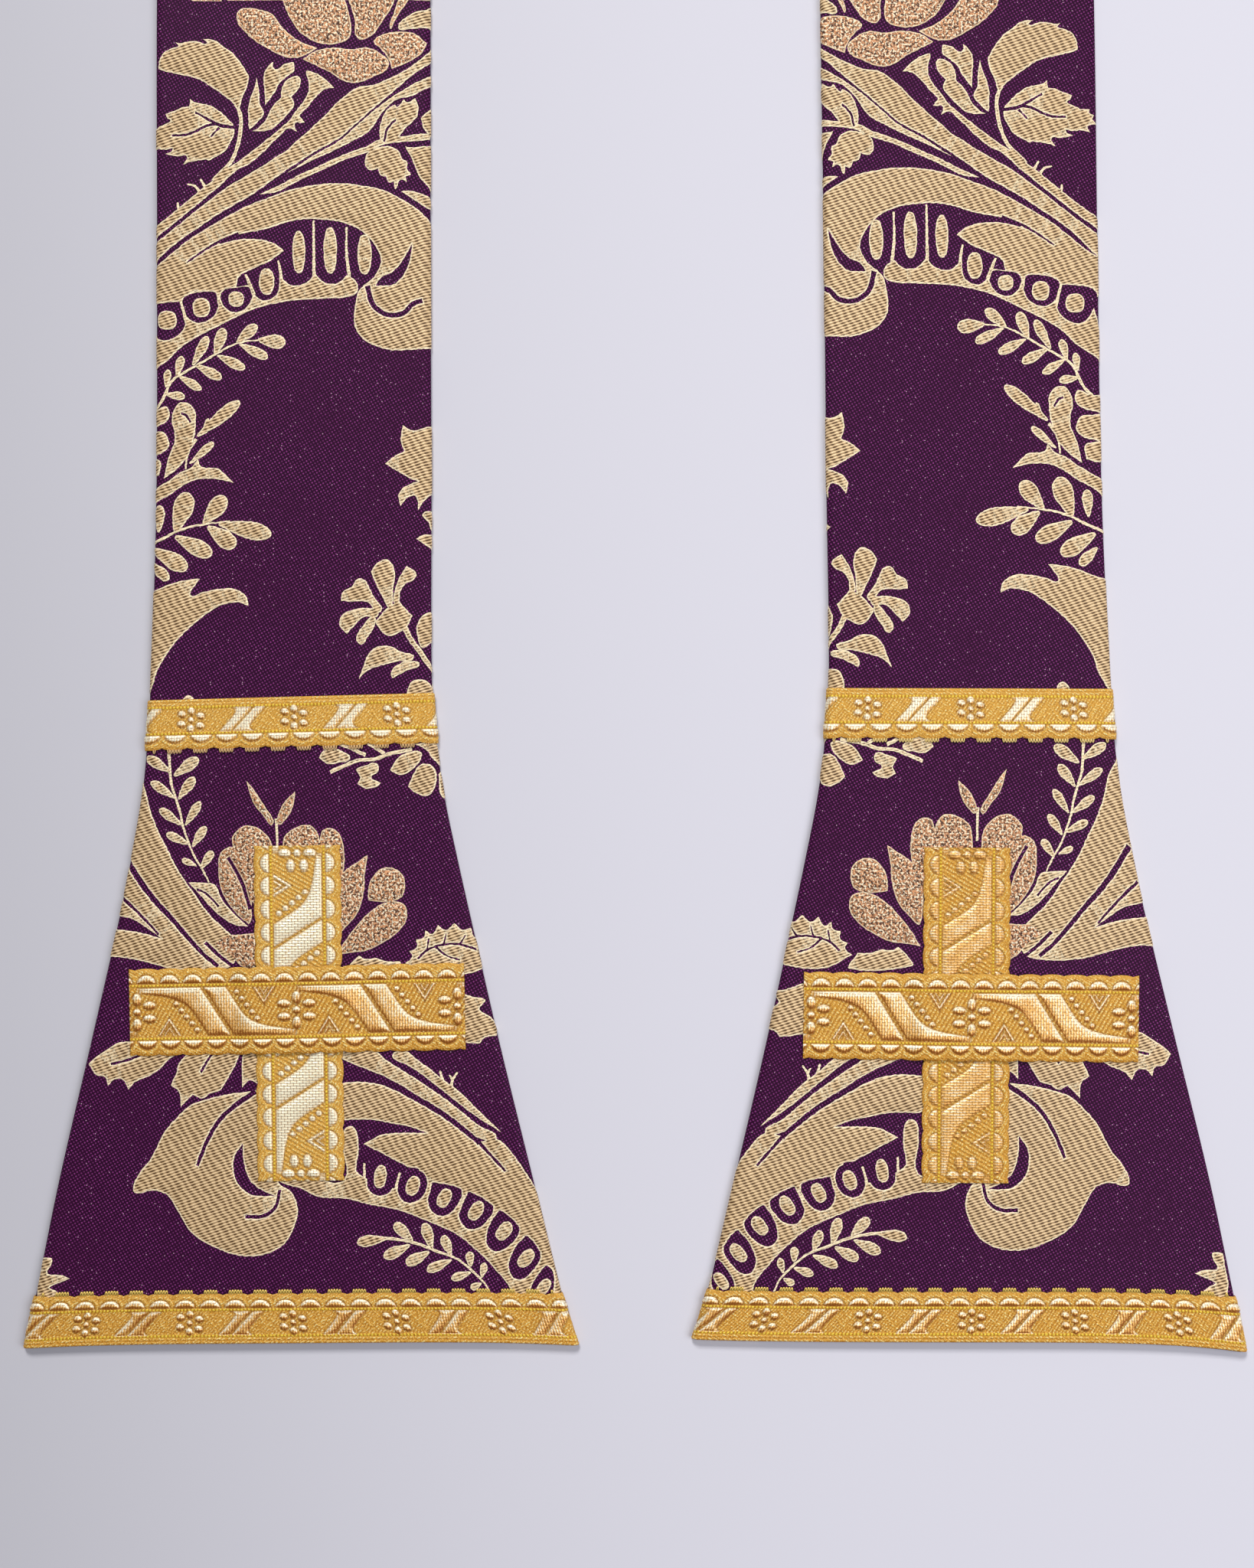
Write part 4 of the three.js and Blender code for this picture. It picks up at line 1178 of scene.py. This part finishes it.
def narrow_galloon(name, base, scallops_up, hand, phase, finish):
    """A narrow galloon across a band, wrapped round its two folded edges."""
    slope = 0 if scallops_up else hand["band_slope"]
    base = base + (0 if scallops_up else hand["band_rise"])
    middle = float(Stations(base + NARROW_WIDTH / 2).half) - EDGE_ACROSS
    wrap_arc = 4.0
    reach = middle + (WRAP - 1) * wrap_arc
    s = np.linspace(-reach, reach, int(2 * reach / GRID))
    wave = scallop(np.clip(s, -middle, middle), NARROW_PITCH, NARROW_WAVE)
    low = np.zeros(len(s)) - (0 if scallops_up else wave)
    high = np.full(len(s), NARROW_WIDTH) + (wave if scallops_up else 0)

    def locate(along, across, lift):
        sloped = slope * np.clip(along, -1.2 * middle, 1.2 * middle)
        stations = Stations(base + across + sloped)
        flat = stations.half - EDGE_ACROSS
        over = np.maximum(np.abs(along) - middle, 0) / wrap_arc * math.pi / 2
        part = np.clip(along / middle, -1, 1)
        out = np.sign(along) * (EDGE_ACROSS + lift) * np.sin(over)
        crown = FACE_CROWN * (1 - part**2)
        z = EDGE_UP + (EDGE_UP + lift) * np.cos(over) + crown
        return place(stations, flat * part + out, z, hand)

    def relief(along, across):
        world = hand["side"] * along - phase
        if scallops_up:
            return narrow_pattern(-world, across, along)
        return narrow_pattern(world, NARROW_WIDTH - across, along)

    picots = []
    first = -math.floor(middle / NARROW_PITCH)
    for k in range(first - 1, -first + 1):
        for share in (0.28, 0.39, 0.5, 0.61, 0.72):
            at = (k + share) * NARROW_PITCH
            if abs(at) < middle - 0.5:
                edge = float(scallop(at, NARROW_PITCH, NARROW_WAVE))
                if scallops_up:
                    picots.append((at, NARROW_WIDTH + edge, 1))
                else:
                    picots.append((at, -edge, -1))
    # Painted highlight and painted shade of the floats: base and strength of the painted light mask,
    # paler on the band's galloon than on the hem's.
    painted_light = (0.45, 2.2) if scallops_up else (0.85, 1.3)
    return galloon_cloth(name, s, low, high, locate, relief, finish, painted_light, picots)


def wide_galloon(name, is_arm, hand, finish):
    """A bar of the cross. The arm steps up where it is laid over the upright."""
    side = hand["side"]
    shift = hand["cross_shift"] + (0 if is_arm else hand["upright_shift"])
    centre_x = side * (float(section_value(2, CROSS_HEIGHT)) + shift)
    centre_y = CROSS_HEIGHT - hand["cross_drop"] + (hand["arm_rise"] if is_arm else 0)
    turn = math.radians(
        side * hand["arm_turn"] if is_arm else 90 + side * hand["upright_turn"]
    )
    cos, sin = math.cos(turn), math.sin(turn)
    s = np.linspace(-CROSS_SPAN / 2, CROSS_SPAN / 2, int(CROSS_SPAN / GRID))
    half = WIDE_WIDTH / 2 + scallop(s, WIDE_PITCH, WIDE_WAVE)
    plateau = WIDE_WIDTH / 2 + WIDE_WAVE + 1
    upright = 1.3

    def locate(along, across, lift):
        x = centre_x + cos * along - sin * across
        y = centre_y + sin * along + cos * across
        stations = Stations(y)
        part = (side * x - stations.x) / (stations.half - EDGE_ACROSS)
        step = upright * smooth(0, 1, 1 - (np.abs(along) - plateau) / 7) if is_arm else 0
        z = FACE_TOP + FACE_CROWN * (1 - part**2) + lift + step
        return np.stack([x * MM, (y - HEM_TO_ORIGIN) * MM, z * MM], axis=-1)

    # Painted highlight and painted shade of the floats: the arm's follow which way its floats face, and
    # the upright is painted evenly, as pale as its half gives.
    painted_light = (0.52, 2.3) if is_arm else (hand["upright_painted_light"], 0.5)
    return galloon_cloth(name, s, -half, half, locate, wide_pattern, finish, painted_light)


class Field:
    """A number that varies over a cloth's surface, written in sums as a number is in Python."""

    def __init__(self, finish, socket):
        self.finish = finish
        self.socket = socket

    def _sum(self, operation, *terms):
        return self.finish.node("ShaderNodeMath", {"operation": operation}, *terms)

    def __add__(self, other):
        return self._sum("ADD", self, other)

    def __radd__(self, other):
        return self._sum("ADD", other, self)

    def __sub__(self, other):
        return self._sum("SUBTRACT", self, other)

    def __rsub__(self, other):
        return self._sum("SUBTRACT", other, self)

    def __mul__(self, other):
        return self._sum("MULTIPLY", self, other)

    def __rmul__(self, other):
        return self._sum("MULTIPLY", other, self)

    def __truediv__(self, other):
        return self._sum("DIVIDE", self, other)

    def wave(self):
        """From 0 to 1 and back, once each 1 of the field."""
        return self._sum("COSINE", self * (2 * math.pi)) * 0.5 + 0.5

    def floor(self):
        return self._sum("FLOOR", self)

    def between(self, low, high):
        """0 below low, 1 above high, and a smooth rise between them."""
        settings = {"interpolation_type": "SMOOTHSTEP"}
        return self.finish.node("ShaderNodeMapRange", settings, self, low, high, 0.0, 1.0)


def dye(code):
    """A colour given as on screen, as the shader's own linear one."""
    parts = [int(code[i : i + 2], 16) / 255 for i in (1, 3, 5)]
    linear = [p / 12.92 if p <= 0.04045 else ((p + 0.055) / 1.055) ** 2.4 for p in parts]
    return (*linear, 1.0)


class Finish:
    """A material in the making: its nodes, and the shader that they end in."""

    def __init__(self, name, **constants):
        self.material = bpy.data.materials.new(name)
        self.material.use_nodes = True
        self.nodes = self.material.node_tree.nodes
        self.links = self.material.node_tree.links
        self.shader = self.nodes["Principled BSDF"]
        for label, value in constants.items():
            self.shader.inputs[label.replace("_", " ")].default_value = value

    def node(self, kind, settings, *values, output=0, **named):
        """One node: its settings first, then what its sockets are given."""
        node = self.nodes.new(kind)
        for label, value in settings.items():
            setattr(node, label, value)
        for key, value in [*enumerate(values), *named.items()]:
            socket = node.inputs[key.replace("_", " ") if isinstance(key, str) else key]
            self.give(socket, value)
        return Field(self, node.outputs[output])

    def give(self, socket, value):
        if isinstance(value, Field):
            self.links.new(value.socket, socket)
        elif value is not None:
            socket.default_value = value

    def mix(self, share, first, second):
        """A colour between two others."""
        node = self.nodes.new("ShaderNodeMix")
        node.data_type = "RGBA"
        self.give(node.inputs[0], share)
        self.give(node.inputs[6], first)
        self.give(node.inputs[7], second)
        return Field(self, node.outputs[2])

    def cloth_places(self):
        """How far along each way of the flat cloth a point lies, in millimetres."""
        cloth = self.node("ShaderNodeUVMap", {"uv_map": "cloth"})
        self.cloth = cloth
        parts = self.node("ShaderNodeSeparateXYZ", {}, cloth)
        return parts, Field(self, parts.socket.node.outputs[1])

    def measure(self, name):
        settings = {"attribute_type": "GEOMETRY", "attribute_name": name}
        return self.node("ShaderNodeAttribute", settings, output=2)

    def noise(self, size, detail=2.0, rough=0.5):
        """Uneven patches of about a size in millimetres, from 0 to 1."""
        settings = {"noise_dimensions": "2D"}
        return self.node(
            "ShaderNodeTexNoise",
            settings,
            Vector=self.cloth,
            Scale=1 / size,
            Detail=detail,
            Roughness=rough,
        )

    def finish(self, colour, roughness, metallic, height=None):
        """Ends the material. The height, if it has one, is of its threads, in millimetres."""
        self.give(self.shader.inputs["Base Color"], colour)
        self.give(self.shader.inputs["Roughness"], roughness)
        self.give(self.shader.inputs["Metallic"], metallic)
        if height is not None:
            bump = self.node("ShaderNodeBump", {}, Strength=1.0, Distance=MM, Height=height)
            self.give(self.shader.inputs["Normal"], bump)
        return self.material


def turned(x, y, degrees):
    """Places along and across threads that run at an angle."""
    turn = math.radians(degrees)
    cos, sin = math.cos(turn), math.sin(turn)
    return x * cos + y * sin, y * cos - x * sin


def purple_ground():
    """The brocade's ground: dark aubergine twill with a fine dot of lighter thread."""
    f = Finish("brocade_ground", Specular_IOR_Level=0.1)
    x, y = f.cloth_places()
    along, across = turned(x, y, 30)
    dots = ((along / DOT_PITCH).wave() * (across / DOT_PITCH).wave()).between(0.15, 0.75)
    uneven = f.noise(1.6).between(0.38, 0.66)
    patches = f.noise(22.0)
    colour = f.mix(dots * (uneven * 0.45 + 0.45), dye("#2a0426"), dye("#8f3c84"))
    colour = f.mix(patches.between(0.3, 0.8) * 0.3, colour, dye("#380930"))
    cells = f.node("ShaderNodeTexVoronoi", {"voronoi_dimensions": "2D"}, Vector=f.cloth, Scale=0.6)
    chosen = Field(f, cells.socket.node.outputs["Color"])
    chosen = f.node("ShaderNodeSeparateColor", {}, chosen)
    specks = chosen.between(0.93, 0.935) * (1 - cells.between(0.06, 0.15))
    colour = f.mix(specks, colour, dye("#c79cba"))
    height = dots * 0.07 + uneven * 0.02
    return f.finish(colour, 0.55 - dots * 0.1, 0.0, height)


def gold_figure():
    """The figure's dull gold thread: rows of slanting floats with dark ties, pale at its edge."""
    f = Finish("brocade_gold", Specular_IOR_Level=0.4)
    x, y = f.cloth_places()
    depth = f.measure("depth")
    along, across = turned(x, y, 18)
    grain = f.noise(0.9, 3.0, 0.7)
    rows = (across / ROW_PITCH + f.noise(4.0) * 0.15).wave()
    ends = 1 - ((along + across * 0.27) / 2.6 + f.noise(4.0) * 0.8).wave()
    floats = rows.between(0.1, 0.8)
    ties = (1 - rows).between(0.2, 0.9) * (ends.between(0.2, 0.9) * 0.65 + 0.3)
    colour = f.mix(floats * 0.6 + (1 - ends) * 0.4, dye("#86602e"), dye("#fcdcac"))
    colour = f.mix(grain.between(0.4, 0.75) * 0.3, colour, dye("#e2bc86"))
    colour = f.mix(ties * 0.9, colour, dye("#46290a"))
    rim = 1 - (depth + (grain - 0.5) * 1.0).between(0.35, 0.65)
    colour = f.mix(rim * 0.9, colour, dye("#ffedc6"))
    height = rows * 0.12 - ties * 0.1 + rim * 0.08 + grain * 0.03
    return f.finish(colour, 0.5 - floats * 0.1, 0.1, height)


def rose_lurex():
    """The petals' crinkled rose-gold thread, with painted sparkle highlights."""
    f = Finish("brocade_lurex", Specular_IOR_Level=0.5)
    f.cloth_places()
    depth = f.measure("depth")
    grain = f.noise(0.95, 3.0, 0.7)
    coarse = f.noise(2.2, 2.0, 0.6)
    light = (grain * 0.8 + coarse * 0.2).between(0.43, 0.57)
    colour = f.mix(light, dye("#42200e"), dye("#d89a6a"))
    # Painted sparkle: near-white specks, painted highlights of the crinkled thread.
    painted_sparkle = f.noise(0.8, 1.0, 0.5).between(0.55, 0.62)
    colour = f.mix(painted_sparkle * 0.9, colour, dye("#fff0d0"))
    rim = 1 - (depth + (grain - 0.5) * 0.7).between(0.25, 0.55)
    colour = f.mix(rim * 0.75, colour, dye("#f1d9b2"))
    height = grain * 0.35 + coarse * 0.2 + rim * 0.05
    return f.finish(colour, 0.38, 0.3, height)


def purple_lining():
    """Plain purple lining cloth of a fine even weave."""
    f = Finish("lining_cloth", Sheen_Weight=0.2)
    x, y = f.cloth_places()
    weave = (x / 0.5).wave() * 0.5 + (y / 0.5).wave() * 0.5
    slubs = f.noise(6.0, 3.0)
    colour = f.mix(weave, dye("#2e1038"), dye("#4a2058"))
    colour = f.mix(slubs * 0.4, colour, dye("#3d1a49"))
    return f.finish(colour, 0.55 + slubs * 0.15, 0.0, weave * 0.04 + slubs * 0.03)


def gold_galloon():
    """Galloon: amber ribs, yellow cords and satin floats of metal thread with brown ties. Its painted
    light mask paints the floats from brown shade to pale highlight and the ground paler, and its glints
    are painted highlights.
    """
    f = Finish("galloon_gold", Specular_IOR_Level=0.5)
    s, v = f.cloth_places()
    satin, cord = f.measure("satin"), f.measure("cord")
    groove, rib, painted_light = f.measure("groove"), f.measure("rib"), f.measure("painted_light")
    grain = f.noise(0.8, 3.0, 0.75).between(0.3, 0.7)
    patches = f.noise(6.0, 2.0)
    stitch = (s / 1.3 + grain * 0.2).wave()
    step = ((s * 0.5 + v * 0.87) / 0.9).wave()
    ground = f.mix(rib * 0.5 + grain * 0.5, dye("#a05606"), dye("#ffba2e"))
    # Painted highlight: the ground is painted paler yellow where the painted light mask is high.
    ground = f.mix(painted_light * 0.3, ground, dye("#ffd468"))
    # Painted glints: near-white specks on the ribs and steps, painted highlights of the metal thread.
    painted_glints = (rib * 0.6 + step * 0.4).between(0.4, 0.8) * grain.between(0.45, 0.8)
    ground = f.mix(painted_glints, ground, dye("#fff0a8"))
    ground = f.mix(groove * (stitch * 0.5 + 0.3), ground, dye("#6a3d04"))
    cords = f.mix(stitch.between(0.2, 0.7), dye("#c98a10"), dye("#ffdf4e"))
    thread = (s / 1.0 + f.noise(1.6) * 0.5).wave()
    # Painted highlight and painted shade: the floats go from brown through gold to near white with the
    # painted light mask, varied by random patches, threads and grain.
    shade = painted_light + (patches - 0.5) * 0.5 + (thread - 0.5) * 0.3 + (grain - 0.5) * 0.25
    floats = f.mix(shade.between(0.05, 0.5), dye("#a25c18"), dye("#f2b960"))
    floats = f.mix(shade.between(0.45, 0.85), floats, dye("#fff4d4"))
    row = v / 1.15
    brick = (s / 2.0 + (row + 0.5).floor() * 0.5).wave()
    ties = row.wave().between(0.6, 0.95) * brick.between(0.05, 0.4)
    floats = f.mix(ties * 0.55, floats, dye("#a0662a"))
    colour = f.mix(cord, ground, cords)
    colour = f.mix(satin, colour, floats)
    height = (1 - satin) * (grain * 0.14 + step * rib * 0.08) + satin * (thread * 0.1 - ties * 0.05)
    height = height + cord * stitch * 0.1
    return f.finish(colour, 0.4 - satin * 0.08 + grain * 0.06, 0.3, height)


def table_top():
    """The pale floor that the stole lies on, painted darker towards the left as painted shade."""
    f = Finish("pale_floor", Specular_IOR_Level=0.2)
    f.cloth = f.node("ShaderNodeTexCoord", {}, output=3)
    x = f.node("ShaderNodeSeparateXYZ", {}, f.cloth)
    # Painted shade: the floor's colour is painted darker towards the left, where the light falls off.
    colour = f.mix((x + f.noise(0.6, 2.0) * 0.02).between(-0.5, 0.1), dye("#b0b0b6"), dye("#dbdae4"))
    return f.finish(colour, 0.75, 0.0)


ground, gold, lurex = purple_ground(), gold_figure(), rose_lurex()
lining_finish, galloon_finish = purple_lining(), gold_galloon()

for half_name, hand in HALVES.items():
    made = {
        "face": brocade_face(f"{half_name}_brocade", hand, [ground, gold, lurex]),
        "lining": lining_cloth(f"{half_name}_lining_cloth", hand, lining_finish),
        "hem_galloon": narrow_galloon(
            f"{half_name}_hem_braid", HEM_GALLOON_BASE, True, hand, hand["hem_phase"], galloon_finish
        ),
        "band_galloon": narrow_galloon(
            f"{half_name}_band_braid",
            BAND_GALLOON_BASE,
            False,
            hand,
            hand["band_phase"],
            galloon_finish,
        ),
        "cross_upright": wide_galloon(f"{half_name}_upright_braid", False, hand, galloon_finish),
        "cross_arm": wide_galloon(f"{half_name}_arm_braid", True, hand, galloon_finish),
    }
    slots = {"face": "brocade", "lining": "lining"}
    for part, piece in made.items():
        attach(piece, "root")
        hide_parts(f"{half_name}_{part}")
        slots.get(part, "galloon")

bpy.ops.mesh.primitive_plane_add(size=8, location=(0, 0, -0.0002))
floor = bpy.context.object
floor.name = "floor"
floor.data.materials.append(table_top())


def soft_light(name, place_at, aim, size, power, colour):
    """A square studio softbox turned towards a point."""
    light = bpy.data.lights.new(name, "AREA")
    light.size, light.energy, light.color = size, power, colour
    lamp = bpy.data.objects.new(name, light)
    lamp.location = place_at
    lamp.rotation_euler = (Vector(aim) - Vector(place_at)).to_track_quat("-Z", "Y").to_euler()
    bpy.context.collection.objects.link(lamp)


soft_light("key_softbox", (-0.5, 2.2, 2.7), (0, -0.35, 0), 1.0, 98, (1.0, 0.985, 0.96))
soft_light("side_softbox", (1.0, -0.6, 1.4), (0, -0.35, 0), 1.2, 16, (0.97, 0.97, 1.0))

world = bpy.data.worlds.new("studio")
world.use_nodes = True
background = world.node_tree.nodes["Background"]
background.inputs["Color"].default_value = (0.84, 0.84, 0.9, 1)
background.inputs["Strength"].default_value = 0.2
bpy.context.scene.world = world

camera = bpy.data.cameras.new("camera")
camera.lens, camera.sensor_width = 50, 36
viewer = bpy.data.objects.new("camera", camera)
viewer.location = (-0.0015, (203.8 - HEM_TO_ORIGIN) * MM, 0.796 + FACE_TOP * MM)
viewer.rotation_euler = (0, 0, math.radians(-0.42))
bpy.context.collection.objects.link(viewer)
bpy.context.scene.camera = viewer
bpy.context.scene.view_settings.view_transform = "Standard"

bpy.context.view_layer.update()
